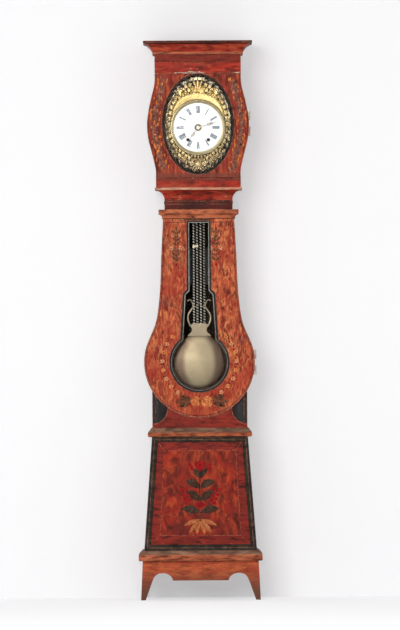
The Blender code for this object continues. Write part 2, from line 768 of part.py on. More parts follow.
def make_seat_board():
    """Level board inside the hood that carries the movement, with a slot for each weight line."""
    edge = hood_edge(HOOD_Z, CORNICE_Z)
    heights = [SEAT_Z + SEAT_T * i / 8 for i in range(9)]
    half = min(half_at(edge, z) for z in heights) - SIDE_T - GAP
    outline = rectangle(-half, half, FRAME_Y - PLATE_T, SIDE_BACK_Y)
    slots = [rectangle(x - 0.012, x + 0.012, LINE_Y - 0.016, LINE_Y + 0.016) for x in (-LINE_X, LINE_X)]
    piece("seat_board", level_plate([outline] + slots, SEAT_Z, SEAT_Z + SEAT_T), "bare_pine")


# Doors and hinges

def hinge_pair(stem, axis, low_z, door_pivot):
    """A lift-off hinge: the case leaf holds the pin, and the door leaf drops over it."""
    x, y = axis
    clear = HINGE_SPACE / 2 - GAP - LEAF_T
    for part, offsets in (("case", (clear, clear + LEAF_T)), ("door", (-clear - LEAF_T, -clear))):
        bends = [180.0 - math.degrees(math.asin(offset / KNUCKLE_R)) for offset in offsets]
        knuckle = arc(x, y, KNUCKLE_R, bends[0], bends[1] + 360.0, 14)
        outline = [(x - LEAF_W, y + offsets[0])] + knuckle + [(x - LEAF_W, y + offsets[1])]
        if part == "case":
            pin = rod(HINGE_PIN_R, low_z + KNUCKLE_H / 2, low_z + 2 * KNUCKLE_H, along_z(x, y), 10)
            leaf = fused(level_plate([outline], low_z, low_z + KNUCKLE_H), pin)
            piece(stem + "_case_leaf", leaf, "iron")
        else:
            bore = circle(x, y, HINGE_PIN_R + PIVOT_GAP, 10)
            foot = low_z + KNUCKLE_H + GAP
            piece(stem + "_door_leaf", level_plate([outline, bore], foot, foot + KNUCKLE_H), "iron",
                  door_pivot)


def make_hinges(stem, axis, middle_z, door_pivot):
    for place, shift in (("lower", -HINGE_SPREAD), ("upper", HINGE_SPREAD)):
        hinge_pair(stem + "_" + place + "_hinge", axis, middle_z + shift - KNUCKLE_H, door_pivot)


def trunk_opening(shrink=0.0):
    """Glazed opening of the trunk door: a slot that widens and ends in a round window."""
    top = CAP_Z - DOOR_GAP - SLOT_TOP_RAIL - shrink
    shoulder = BELLY_Z + SLOT_SHOULDER_Z
    radius = WINDOW_RADIUS - shrink
    foot = SLOT_FOOT_HALF - shrink
    turn = math.degrees(math.acos(foot / radius))
    right = [(SLOT_HALF - shrink, top), (SLOT_HALF - shrink, shoulder + SLOT_STEP),
             (SLOT_SHOULDER_HALF - shrink, shoulder)]
    window = arc(0.0, BELLY_Z, radius, turn, -180.0 - turn, 28)
    return right + window + mirrored(right)


def make_trunk_door():
    axis = (BELLY_RADIUS + KNUCKLE_R + 0.001, TRUNK_DOOR_BACK_Y + HINGE_SPACE / 2)
    swing = pivot("trunk_door_pivot", (*axis, BELLY_Z))
    right = arc(0.0, BELLY_Z, BELLY_RADIUS, -90.0, WAIST_START, 18)[:-1] + waist_points(CAP_Z - DOOR_GAP)
    outline = right + mirrored(right)[:-1]
    piece("trunk_door", front_plate([outline, trunk_opening()], TRUNK_FRONT_Y, TRUNK_DOOR_BACK_Y),
          "orange_painted_wood", swing)
    glass_y = TRUNK_FRONT_Y + DOOR_T * 0.5
    piece("trunk_door_glass", front_plate([trunk_opening(GAP)], glass_y, glass_y + GLASS_T),
          "clear_glass", swing)
    make_hinges("trunk_door", axis, BELLY_Z, swing)
    make_lock(swing)


def make_lock(door_pivot):
    """Lock case on the back of the trunk door, and the bolt that shoots into the left side."""
    edge = lock_edge()
    z = lock_height()
    back = TRUNK_DOOR_BACK_Y + GAP
    shell = rectangle(back, back + LOCK_T, z - LOCK_H / 2, z + LOCK_H / 2)
    lock = side_plate([shell, bolt_loop(PIVOT_GAP)], edge, edge + LOCK_W)
    piece("trunk_door_lock", lock, "iron", door_pivot)
    slide = pivot("lock_bolt_pivot", (edge, bolt_plane(), z), door_pivot)
    piece("trunk_lock_bolt", side_plate([bolt_loop(0.0)], edge + GAP, edge + LOCK_W - BOLT_TRAVEL), "brass",
          slide)


def oval(shrink=0.0):
    """Oval opening of the hood door."""
    angles = [2 * math.pi * i / 40 for i in range(40)]
    return [((OVAL_HALF_WIDTH - shrink) * math.cos(t), OVAL_Z + (OVAL_HALF_HEIGHT - shrink) * math.sin(t))
            for t in angles]


def make_hood_door():
    bulge = HOOD_FOOT_HALF + max(added for added, rise in HOOD_CURVE)
    middle = HOOD_DOOR_Z + HOOD_BULGE_RISE
    axis = (bulge + KNUCKLE_R + 0.001, HOOD_DOOR_BACK_Y + HINGE_SPACE / 2)
    swing = pivot("hood_door_pivot", (*axis, middle))
    right = hood_curve(HOOD_DOOR_Z + DOOR_GAP, FRIEZE_Z - DOOR_GAP)
    piece("hood_door", front_plate([right + mirrored(right), oval()], HOOD_FRONT_Y, HOOD_DOOR_BACK_Y),
          "red_painted_wood", swing)
    glass_y = HOOD_FRONT_Y + DOOR_T * 0.4
    piece("hood_door_glass", front_plate([oval(GAP)], glass_y, glass_y + GLASS_T), "clear_glass", swing)
    make_hinges("hood_door", axis, middle, swing)


# Movement: places of the arbors and planes of the wheels

DRUM_Z = DIAL_Z - DRUM_DROP
WHEEL_R = TRAIN_MODULE * GREAT_TEETH / 2
PINION_R = TRAIN_MODULE * PINION_LEAVES / 2
SECOND_R = TRAIN_MODULE * SECOND_TEETH / 2
SECOND_Z = DRUM_Z + math.sqrt((WHEEL_R + PINION_R) ** 2 - (DRUM_X - SECOND_X) ** 2)
ESCAPE_Z = SECOND_Z + math.sqrt((SECOND_R + PINION_R) ** 2 - SECOND_X ** 2)
ANCHOR_Z = ESCAPE_Z + ANCHOR_RISE
CRUTCH_DROP = 0.028
CRUTCH_PIN_R = 0.0018
ESCAPE_Y = FRAME_Y + PLATE_T + 0.006
GREAT_Y = FRAME_Y + PLATE_T + 0.012
DRUM_END_Y = GREAT_Y + DRUM_L
SECOND_Y = DRUM_END_Y + 0.010
MOTION_Y = PENDULUM_Y - 0.018
HOUR_Y = MOTION_Y - 0.008
MOTION_DROP = MOTION_MODULE * (MOTION_LEAVES + HOUR_TEETH) / 2
CANNON_MODULE = 2 * MOTION_DROP / (CANNON_TEETH + MOTION_TEETH)
MOTION_Z = DIAL_Z - MOTION_DROP
HOUR_HAND_Y = DIAL_Y - 0.0025
MINUTE_HAND_Y = DIAL_Y - 0.0065
STUD_R = 0.0019
HUB_R = 0.0029
CANNON_PIPE_R = 0.0037
HOUR_BORE_R = 0.0042
HOUR_PIPE_R = 0.0055
BELL_Y = FRAME_BACK_Y - BELL_R - 0.005
BELL_Z = DIAL_Z + BELL_RISE
HAMMER_Z = DIAL_Z + HAMMER_RISE
WHEEL_TOOTH = (0.26, 0.10, 0.9, 1.2)
PINION_TOOTH = (0.20, 0.12, 0.8, 1.2)


def gear_loop(teeth, module, centre, tooth_angle, tooth):
    """Outline of a wheel with straight-flanked teeth, one of them centred on tooth_angle."""
    root_share, tip_share, addendum, dedendum = tooth
    pitch = 2 * math.pi / teeth
    radius = module * teeth / 2
    low = radius - dedendum * module
    high = radius + addendum * module
    points = []
    for k in range(teeth):
        for reach, share in ((low, -root_share), (high, -tip_share), (high, tip_share), (low, root_share)):
            t = tooth_angle + (k + share) * pitch
            points.append((centre[0] + reach * math.cos(t), centre[1] + reach * math.sin(t)))
    return points


def heading(start, end):
    return math.atan2(end[1] - start[1], end[0] - start[0])


def gap_facing(leaves, start, end):
    """Tooth angle that turns a pinion's gap from start towards end."""
    return heading(start, end) + math.pi / leaves


def disc(loop, middle_y, thickness, *holes):
    return front_plate([loop, *holes], middle_y - thickness / 2, middle_y + thickness / 2)


def ring(inner, outer, y0, y1, x, z, sides=16):
    """A plain tube with its axis along Y."""
    return turned([(outer, y0), (outer, y1), (inner, y1), (inner, y0)], sides, along_y(x, z), ring=True)


def make_frame():
    """Two plates on pillars, with the studs, the suspension cock and the bell bracket riveted in."""
    holes = [(side * x, z) for side in (-1, 1) for x, z in ((DRUM_X, DRUM_Z), (SECOND_X, SECOND_Z))]
    holes += [(0.0, ESCAPE_Z), (0.0, ANCHOR_Z)]
    loops = [rectangle(-PLATE_HALF, PLATE_HALF, FRAME_Z, FRAME_TOP_Z)]
    loops += [circle(x, z, ARBOR_R + PIVOT_GAP, 12) for x, z in holes]
    back_y = FRAME_BACK_Y
    added = [front_plate(loops, back_y, back_y + PLATE_T)]
    post_x = PLATE_HALF - 2 * PILLAR_R
    for x in (-post_x, post_x):
        for z in (FRAME_Z + 2 * PILLAR_R, FRAME_TOP_Z - 2 * PILLAR_R):
            added.append(rod(PILLAR_R, FRAME_Y + PLATE_T / 2, back_y + PLATE_T / 2, along_y(x, z), 10))
    dial_back = DIAL_Y + DIAL_T + GAP
    plate_back = dial_back + SURROUND_T + GAP
    inside = FRAME_Y + PLATE_T / 2
    for x in (-post_x, post_x):
        added.append(rod(STUD_R * 2, plate_back, inside, along_y(x, DIAL_Z + DIAL_R * 0.61), 8))
        added.append(rod(STUD_R * 2, plate_back, inside, along_y(x, DIAL_Z - DIAL_R * 1.15), 8))
        added.append(rod(STUD_R * 2, dial_back, inside, along_y(x * 0.85, DIAL_Z - DIAL_R * 0.2), 8))
    added.append(rod(STUD_R, MINUTE_HAND_Y + GAP, inside, along_y(0.0, DIAL_Z), 10))
    added.append(rod(STUD_R, HOUR_Y - WHEEL_T, inside, along_y(0.0, MOTION_Z), 10))
    added.append(rod(STUD_R, BELL_Y - HAMMER_HEAD_R, back_y + PLATE_T / 2, along_y(HAMMER_X, HAMMER_Z), 10))
    added += cock_parts(inside) + bracket_parts(back_y)
    piece("movement_frame", fused(front_plate(loops, FRAME_Y, FRAME_Y + PLATE_T), *added), "iron")


def cock_parts(inside):
    """Arm over the pendulum's eye and the pin that the eye hangs on."""
    front = PENDULUM_Y - PENDULUM_T - COCK_T * 1.5
    back = PENDULUM_Y - PENDULUM_T / 2 - COCK_T
    under = ANCHOR_Z + 2 * EYE_R
    tip = ANCHOR_Z - 2 * EYE_PIN_R
    outline = [(inside, under), (back, under), (back, tip), (front, tip),
               (front, under + EYE_R), (inside, under + EYE_R)]
    pin = rod(EYE_PIN_R, (front + back) / 2, PENDULUM_Y + PENDULUM_T, along_y(0.0, ANCHOR_Z), 10)
    return [side_plate([outline], -COCK_W / 2, COCK_W / 2), pin]


def bracket_parts(back_y):
    """Strap from the back plate over the bell, and the bolt that holds the bell's crown."""
    crown = BELL_Z + BELL_H
    low = FRAME_TOP_Z - STRAP_LAP
    outer = back_y + PLATE_T + STRAP_T / 2
    inner = back_y + PLATE_T / 2
    over = crown + 2 * STRAP_T
    end = BELL_Y - 3 * STRAP_T
    outline = [(inner, low), (outer, low), (outer, over), (end, over), (end, crown + GAP),
               (inner, crown + GAP)]
    bolt = rod(BELL_BOLT_R, crown - 2 * BELL_T, crown + STRAP_T, along_z(0.0, BELL_Y), 10)
    return [side_plate([outline], -STRAP_W / 2, STRAP_W / 2), bolt]


def make_train(stem, side, last, wheel_y):
    """Drum with great wheel, and second wheel; side is 1 for the going train, -1 for the strike."""
    drum = (side * DRUM_X, DRUM_Z)
    second = (side * SECOND_X, SECOND_Z)
    turn = pivot(stem + "_drum_pivot", (drum[0], GREAT_Y, drum[1]))
    wheel = gear_loop(GREAT_TEETH, TRAIN_MODULE, drum, heading(drum, second), WHEEL_TOOTH)
    barrel = rod(DRUM_R, GREAT_Y, DRUM_END_Y, along_y(*drum), 20)
    arbor = rod(ARBOR_R, DIAL_Y + DIAL_T / 2, FRAME_BACK_Y + PLATE_T, along_y(*drum), 12)
    piece(stem + "_drum", fused(disc(wheel, GREAT_Y, WHEEL_T), barrel, arbor), "brass", turn)
    turn = pivot(stem + "_second_pivot", (second[0], GREAT_Y, second[1]))
    facing = gap_facing(PINION_LEAVES, second, drum)
    pinion = gear_loop(PINION_LEAVES, TRAIN_MODULE, second, facing, PINION_TOOTH)
    wheel = gear_loop(SECOND_TEETH, TRAIN_MODULE, second, heading(second, last), WHEEL_TOOTH)
    arbor = rod(ARBOR_R, FRAME_Y, FRAME_BACK_Y + PLATE_T, along_y(*second), 12)
    solid = fused(disc(wheel, wheel_y, WHEEL_T), disc(pinion, GREAT_Y, 2 * WHEEL_T), arbor)
    piece(stem + "_second_wheel", solid, "brass", turn)


def make_escapement():
    """Escape wheel with raked teeth, and the anchor with its crutch."""
    centre = (0.0, ESCAPE_Z)
    turn = pivot("escape_pivot", (0.0, ESCAPE_Y, ESCAPE_Z))
    loop = []
    for k in range(ESCAPE_TEETH):
        for reach, share in ((0.84, 0.0), (1.0, 0.05), (1.0, 0.16), (0.84, 0.62)):
            t = 2 * math.pi * (k + share) / ESCAPE_TEETH
            loop.append((ESCAPE_R * reach * math.cos(t), ESCAPE_Z + ESCAPE_R * reach * math.sin(t)))
    second = (SECOND_X, SECOND_Z)
    facing = gap_facing(PINION_LEAVES, centre, second)
    pinion = gear_loop(PINION_LEAVES, TRAIN_MODULE, centre, facing, PINION_TOOTH)
    arbor = rod(ARBOR_R, FRAME_Y, FRAME_BACK_Y + PLATE_T, along_y(*centre), 12)
    piece("escape_wheel", fused(disc(loop, ESCAPE_Y, WHEEL_T), disc(pinion, SECOND_Y, 2 * WHEEL_T), arbor),
          "brass", turn)
    turn = pivot("anchor_pivot", (0.0, ESCAPE_Y, ANCHOR_Z))
    outline = [(x, ANCHOR_Z + z) for x, z in ANCHOR_ARM + mirrored(ANCHOR_ARM)]
    front = FRAME_Y - CRUTCH_CLEARANCE - CRUTCH_T
    low = ANCHOR_Z - CRUTCH_DROP - CRUTCH_W / 2
    arbor = rod(ARBOR_R, front, FRAME_BACK_Y + PLATE_T, along_y(0.0, ANCHOR_Z), 12)
    arm = box(-CRUTCH_W / 2, CRUTCH_W / 2, front, front + CRUTCH_T, low, ANCHOR_Z + CRUTCH_W * 0.7)
    pin = rod(CRUTCH_PIN_R, PENDULUM_Y - PENDULUM_T / 2, front + CRUTCH_T / 2,
              along_y(0.0, ANCHOR_Z - CRUTCH_DROP), 8)
    piece("anchor", fused(disc(outline, ESCAPE_Y, WHEEL_T), arbor, arm, pin), "steel", turn)


def make_bell_and_hammer():
    """Open-mouthed bell under its bracket, and the hammer beside the rim."""
    steps = [math.radians(18 * i) for i in range(5)]
    outer = [(BELL_R * math.cos(t), BELL_Z + BELL_H * math.sin(t)) for t in steps]
    outer.append((BELL_BOLT_R + PIVOT_GAP, BELL_Z + BELL_H))
    hole = BELL_BOLT_R + PIVOT_GAP
    inner = [(max(r - BELL_T, hole), max(z - BELL_T, BELL_Z)) for r, z in reversed(outer)]
    piece("bell", turned(outer + inner, 20, along_z(0.0, BELL_Y), ring=True), "bell_metal")
    turn = pivot("hammer_pivot", (HAMMER_X, BELL_Y, HAMMER_Z))
    head = (BELL_R + HAMMER_CLEARANCE + HAMMER_HEAD_R, BELL_Z + HAMMER_HEAD_R)
    hub = circle(HAMMER_X, HAMMER_Z, STUD_R * 4, 14)
    bore = circle(HAMMER_X, HAMMER_Z, STUD_R + PIVOT_GAP, 10)
    arm = [(HAMMER_X - 0.0025, HAMMER_Z + STUD_R * 2.5), (HAMMER_X + 0.0025, HAMMER_Z + STUD_R * 2.5),
           (head[0] + 0.0020, head[1]), (head[0] - 0.0020, head[1])]
    hammer = fused(disc(hub, BELL_Y, HAMMER_HEAD_R, bore), disc(arm, BELL_Y, HAMMER_HEAD_R / 2),
                   rod(HAMMER_HEAD_R, BELL_Y - HAMMER_HEAD_R, BELL_Y + HAMMER_HEAD_R, along_y(*head), 14))
    piece("hammer", hammer, "iron", turn)


# Dial and hands

def make_dial():
    """Enamel disc, and the oval brass surround with its raised bezel."""
    holes = [circle(0.0, DIAL_Z, DIAL_HOLE_R, 16)]
    holes += [circle(side * DRUM_X, DRUM_Z, WIND_HOLE_R, 16) for side in (-1, 1)]
    loops = [circle(0.0, DIAL_Z, DIAL_R, 48)] + holes
    piece("dial", front_plate(loops, DIAL_Y, DIAL_Y + DIAL_T), "white_enamel")
    face = DIAL_Y + DIAL_T + GAP
    loops = [oval(-SURROUND_MARGIN), circle(0.0, DIAL_Z, DIAL_R + 2 * GAP, 48)]
    plate = front_plate(loops, face, face + SURROUND_T)
    inner = DIAL_R + GAP
    crest = DIAL_Y - BEZEL_T * 0.7
    section = [(BEZEL_R, face + SURROUND_T / 2), (BEZEL_R, crest + 0.003), (BEZEL_R - 0.003, crest),
               (inner, crest), (inner - 0.0028, crest + 0.0022), (inner - 0.0028, DIAL_Y - GAP),
               (inner, DIAL_Y - GAP), (inner, face + SURROUND_T / 2)]
    bezel = turned(section, 48, along_y(0.0, DIAL_Z), ring=True)
    piece("dial_surround", fused(plate, bezel), "brass")


def hand_loops(length, boss, width, angle):
    """Outline of a pierced hand and its piercing, pointing at a clock angle."""
    start = math.degrees(math.asin(width / 2 / boss))
    along = arc(0.0, 0.0, boss, start, 360.0 - start, 14)
    edge = [(length * 0.42, width / 2), (length * 0.52, width * 1.5), (length * 0.64, width * 1.5),
            (length * 0.74, width / 2)]
    blade = along + [(u, -v) for u, v in edge] + [(length, 0.0)] + list(reversed(edge))
    piercing = [(length * 0.48, 0.0), (length * 0.55, -width * 0.8), (length * 0.62, -width * 0.8),
                (length * 0.69, 0.0), (length * 0.62, width * 0.8), (length * 0.55, width * 0.8)]
    turn = math.radians(90.0 - angle)
    c, s = math.cos(turn), math.sin(turn)
    return [[(u * c - v * s, DIAL_Z + u * s + v * c) for u, v in loop] for loop in (blade, piercing)]


def make_hands():
    """Minute hand on its cannon pinion, motion wheel on its stud, hour hand on the hour wheel's pipe."""
    centre = (0.0, DIAL_Z)
    below = (0.0, MOTION_Z)
    turn = pivot("minute_pivot", (0.0, MINUTE_HAND_Y, DIAL_Z))
    facing = gap_facing(CANNON_TEETH, centre, below)
    gear = gear_loop(CANNON_TEETH, CANNON_MODULE, centre, facing, PINION_TOOTH)
    bore = circle(0.0, DIAL_Z, HUB_R, 16)
    pipe = ring(STUD_R + PIVOT_GAP, CANNON_PIPE_R, MINUTE_HAND_Y - HAND_T / 2, MOTION_Y + WHEEL_T, *centre)
    loops = hand_loops(MINUTE_HAND_L, MINUTE_BOSS_R, MINUTE_HAND_W, MINUTE_ANGLE)
    hand = front_plate(loops, MINUTE_HAND_Y - HAND_T, MINUTE_HAND_Y)
    piece("minute_hand", fused(hand, pipe, disc(gear, MOTION_Y, WHEEL_T * 1.4, bore)), "steel", turn)
    turn = pivot("motion_pivot", (0.0, MOTION_Y, MOTION_Z))
    wheel = gear_loop(MOTION_TEETH, CANNON_MODULE, below, heading(below, centre), WHEEL_TOOTH)
    facing = gap_facing(MOTION_LEAVES, below, centre)
    pinion = gear_loop(MOTION_LEAVES, MOTION_MODULE, below, facing, PINION_TOOTH)
    bore = circle(*below, (STUD_R + PIVOT_GAP + HUB_R) / 2, 12)
    hub = ring(STUD_R + PIVOT_GAP, HUB_R, HOUR_Y - WHEEL_T / 2, MOTION_Y + WHEEL_T, *below, 12)
    leaves = disc(pinion, HOUR_Y, WHEEL_T * 1.2, bore)
    piece("motion_wheel", fused(hub, disc(wheel, MOTION_Y, WHEEL_T, bore), leaves), "brass", turn)
    turn = pivot("hour_pivot", (0.0, HOUR_HAND_Y, DIAL_Z))
    wheel = gear_loop(HOUR_TEETH, MOTION_MODULE, centre, heading(centre, below), WHEEL_TOOTH)
    bore = circle(*centre, (HOUR_BORE_R + HOUR_PIPE_R) / 2, 16)
    pipe = ring(HOUR_BORE_R, HOUR_PIPE_R, HOUR_HAND_Y - HAND_T, HOUR_Y + WHEEL_T / 2, *centre)
    piece("hour_wheel", fused(pipe, disc(wheel, HOUR_Y, WHEEL_T * 0.8, bore)), "brass", turn)
    loops = hand_loops(HOUR_HAND_L, HOUR_BOSS_R, HOUR_HAND_W, HOUR_ANGLE)
    hole = circle(*centre, HOUR_PIPE_R + GAP, 16)
    piece("hour_hand", front_plate(loops + [hole], HOUR_HAND_Y - HAND_T, HOUR_HAND_Y), "steel", turn)


# Pendulum

BOB_TOP_Z = BELLY_Z + BOB_R
BOB_FOOT_Z = BELLY_Z - BOB_R
GRID_HALF = 1.5 * ROD_SPACING + ROD_W / 2
GRID_FOOT_Z = BELLY_Z + GRID_FOOT_RISE
TONGUE_HALF = 0.004
TONGUE_Z = BOB_TOP_Z + BOB_TRAVEL + 0.001
THREAD_LAP = 0.007
LYRE_FOOT_Z = TONGUE_Z + THREAD_LAP + GAP


def make_pendulum():
    swing = pivot("pendulum_pivot", (0.0, PENDULUM_Y, ANCHOR_Z))
    make_grid(swing)
    make_lyre(swing)
    slide = pivot("bob_pivot", (0.0, PENDULUM_Y, BELLY_Z), swing)
    half = BOB_T / 2
    rim = 0.0012
    rounds = [(BOB_R * math.sin(t), rim + (half - rim) * math.cos(t) ** 1.5)
              for t in [math.radians(18 * i) for i in range(5)]]
    front = rounds + [(BOB_R, rim)]
    profile = [(r, PENDULUM_Y - t) for r, t in front] + [(r, PENDULUM_Y + t) for r, t in reversed(front)]
    lens = turned(profile, 40, along_y(0.0, BELLY_Z))
    bore = rod(THREAD_R + PIVOT_GAP, BOB_FOOT_Z - NUT_H, BOB_TOP_Z + NUT_H, along_z(0.0, PENDULUM_Y), 12)
    piece("pendulum_bob", cut(lens, bore), "brass", slide)
    spin = pivot("nut_pivot", (0.0, PENDULUM_Y, BOB_FOOT_Z), slide)
    top = BOB_FOOT_Z - GAP
    hole = THREAD_R + PIVOT_GAP
    section = [(NUT_R, top), (NUT_R, top - NUT_H), (hole, top - NUT_H), (hole, top)]
    piece("rating_nut", turned(section, 12, along_z(0.0, PENDULUM_Y), ring=True), "brass", spin)


def make_grid(swing):
    """Eye, stirrup with a window round the dial studs, four rods, and the threaded end for the bob."""
    shoulder = ANCHOR_Z - CRUTCH_DROP + 0.008
    eye = arc(0.0, ANCHOR_Z, EYE_R, -48.0, 90.0, 8)
    right = [(TONGUE_HALF, TONGUE_Z), (TONGUE_HALF, GRID_FOOT_Z), (GRID_HALF, GRID_FOOT_Z),
             (GRID_HALF, shoulder), (TONGUE_HALF, shoulder + 0.006)] + eye
    loops = [right + mirrored(right)[1:]]
    loops.append(circle(0.0, ANCHOR_Z, EYE_PIN_R + PIVOT_GAP, 12))
    loops.append(circle(0.0, ANCHOR_Z - CRUTCH_DROP, CRUTCH_PIN_R + PIVOT_GAP, 12))
    window_top = ANCHOR_Z - CRUTCH_DROP - 0.006
    window_foot = MOTION_Z - 0.014
    loops.append(rectangle(-GRID_HALF + 0.008, GRID_HALF - 0.008, window_foot, window_top))
    top = DIAL_Z - GRID_TOP_DROP
    foot = GRID_FOOT_Z + 0.012
    clasp = (top + foot) / 2 - CLASP_DROP
    slot = (ROD_SPACING - ROD_W) / 2
    for x in (0.0, ROD_SPACING):
        loops.append(rectangle(x - slot, x + slot, foot, top))
    for low_z, high_z in ((foot, clasp - CLASP_H / 2), (clasp + CLASP_H / 2, top)):
        loops.append(rectangle(-ROD_SPACING - slot, -ROD_SPACING + slot, low_z, high_z))
    plate = disc(loops[0], PENDULUM_Y, PENDULUM_T, *loops[1:])
    low = BOB_FOOT_Z - 2 * NUT_H - BOB_TRAVEL
    end = rod(THREAD_R, low, TONGUE_Z + THREAD_LAP, along_z(0.0, PENDULUM_Y), 10)
    piece("pendulum_grid", fused(plate, end), "steel", swing)


def make_lyre(swing):
    """Brass lyre in front of the rods' foot, with arms that curl outwards."""
    outer = [(0.036, 0.0), (0.030, 0.018), (0.034, 0.032), (0.051, 0.056), (0.0545, 0.076), (0.045, 0.096),
             (0.030, 0.116), (0.031, 0.130), (0.047, 0.146), (0.051, 0.155), (0.042, 0.156), (0.020, 0.146)]
    inner = [(0.012, 0.038), (0.034, 0.058), (0.041, 0.076), (0.033, 0.092), (0.017, 0.114), (0.014, 0.132)]
    loops = []
    for points in (outer, inner):
        right = [(x, LYRE_FOOT_Z + rise) for x, rise in smooth(points, 2)]
        loops.append(right + mirrored(right))
    back = PENDULUM_Y - PENDULUM_T / 2 - GAP
    piece("pendulum_lyre", front_plate(loops, back - PENDULUM_T, back), "brass", swing)


# Weights

def make_weight(stem, side):
    """Iron weight on its line; the line hangs straight down from the outer side of the drum."""
    x = side * LINE_X
    top = WEIGHT_TOP_Z
    foot = top - WEIGHT_H
    fall = pivot(stem + "_weight_pivot", (x, LINE_Y, top))
    edge = WEIGHT_R * 0.065
    profile = [(0.0, top + STEM_H), (STEM_R, top + STEM_H), (STEM_R, top),
               (WEIGHT_R * 0.75, top - edge), (WEIGHT_R, top - WEIGHT_R * 0.3),
               (WEIGHT_R, foot + edge), (WEIGHT_R - edge, foot), (0.0, foot)]
    piece(stem + "_weight", turned(profile, 24, along_z(x, LINE_Y)), "iron", fall)
    line = rod(LINE_R, top + STEM_H + GAP, DRUM_Z, along_z(x, LINE_Y), 8)
    piece(stem + "_line", line, "gut_line")


def main():
    clear_scene()
    make_aprons()
    make_plinth()
    make_base()
    make_trunk_foot()
    make_trunk_boards()
    make_trunk_cap()
    make_hood_base()
    make_hood_boards()
    make_back_board()
    make_seat_board()
    make_trunk_door()
    make_hood_door()
    make_frame()
    make_train("going", 1, (0.0, ESCAPE_Z), SECOND_Y)
    make_train("strike", -1, (-DRUM_X, FRAME_TOP_Z), SECOND_Y + 2.5 * WHEEL_T)
    make_escapement()
    make_bell_and_hammer()
    make_dial()
    make_hands()
    make_pendulum()
    make_weight("going", 1)
    make_weight("strike", -1)


main()
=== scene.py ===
"""Painted longcase clock: finishes, ornament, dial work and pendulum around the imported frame."""
import math
import random

import bmesh
import bpy
import numpy as np
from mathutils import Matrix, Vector


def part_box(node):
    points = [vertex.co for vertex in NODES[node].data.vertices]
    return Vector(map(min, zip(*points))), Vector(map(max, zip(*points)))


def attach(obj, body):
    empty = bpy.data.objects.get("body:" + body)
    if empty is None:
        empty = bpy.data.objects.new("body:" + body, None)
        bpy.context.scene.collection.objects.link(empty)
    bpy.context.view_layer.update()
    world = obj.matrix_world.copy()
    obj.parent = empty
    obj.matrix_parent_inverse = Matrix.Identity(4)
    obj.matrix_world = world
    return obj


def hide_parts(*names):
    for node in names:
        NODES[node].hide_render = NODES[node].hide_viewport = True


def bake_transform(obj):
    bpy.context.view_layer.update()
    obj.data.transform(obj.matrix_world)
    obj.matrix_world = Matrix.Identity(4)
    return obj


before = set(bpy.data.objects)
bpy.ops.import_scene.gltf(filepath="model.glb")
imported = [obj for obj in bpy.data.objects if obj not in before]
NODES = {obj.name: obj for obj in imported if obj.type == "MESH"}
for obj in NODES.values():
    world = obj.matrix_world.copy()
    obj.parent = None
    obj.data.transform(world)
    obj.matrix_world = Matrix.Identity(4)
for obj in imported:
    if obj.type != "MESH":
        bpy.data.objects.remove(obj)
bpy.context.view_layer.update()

bl_info = {
    "name": "Painted Longcase Clock",
    "version": (1, 0, 0),
    "blender": (4, 5, 0),
    "location": "View3D > Sidebar > Clock",
    "description": "Dresses a longcase clock with worn paint, brass work and a lit stage",
    "category": "Object",
}

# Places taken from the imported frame, in metres
DIAL_Z = 2.029
OVAL_Z = 2.043
OVAL_A = 0.148
OVAL_B = 0.210
DIAL_R = 0.110
BEZEL_R = 0.120
BELLY_Z = 1.020
BELLY_R = 0.238
WINDOW_R = 0.130
HOOD_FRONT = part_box("hood_door")[0].y
TRUNK_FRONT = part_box("trunk_door")[0].y
BASE_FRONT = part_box("base_front_panel")[0].y
DIAL_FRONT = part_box("dial")[0].y
PENDULUM_Y = (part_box("rating_nut")[0].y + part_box("rating_nut")[1].y) / 2
PENDULUM_TOP = 2.07758
DRUM_Z = 1.976
SLOT_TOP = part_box("trunk_door")[1].z - 0.0130
WAIST = [(0.2174, 1.1168), (0.2035, 1.148), (0.1895, 1.183), (0.179, 1.228), (0.1715, 1.288),
         (0.166, 1.360), (0.161, 1.490), (0.153, 1.638)]
HOOD_BULGE = [(0.182, 1.8135), (0.182, 1.845), (0.189, 1.880), (0.202, 1.932), (0.2145, 1.983),
              (0.219, 2.045), (0.2125, 2.099), (0.202, 2.151), (0.189, 2.202), (0.185, 2.235),
              (0.185, 2.2585)]


def rgb(red, green, blue):
    """A display colour of 0 to 255 as scene-linear values."""
    parts = [c / 255.0 for c in (red, green, blue)]
    return tuple(c / 12.92 if c < 0.04045 else ((c + 0.055) / 1.055) ** 2.4 for c in parts)


def tint(label, about, red, green, blue):
    """A colour that a user can change."""
    return bpy.props.FloatVectorProperty(name=label, description=about, subtype="COLOR", size=3,
                                         min=0.0, max=1.0, default=rgb(red, green, blue))


def length(label, about, metres):
    """A length that a user can change."""
    return bpy.props.FloatProperty(name=label, description=about, default=metres, min=0.0, unit="LENGTH",
                                   precision=4)


def share(label, about, value):
    """A strength from none to full."""
    return bpy.props.FloatProperty(name=label, description=about, default=value, min=0.0, max=1.0,
                                   subtype="FACTOR")


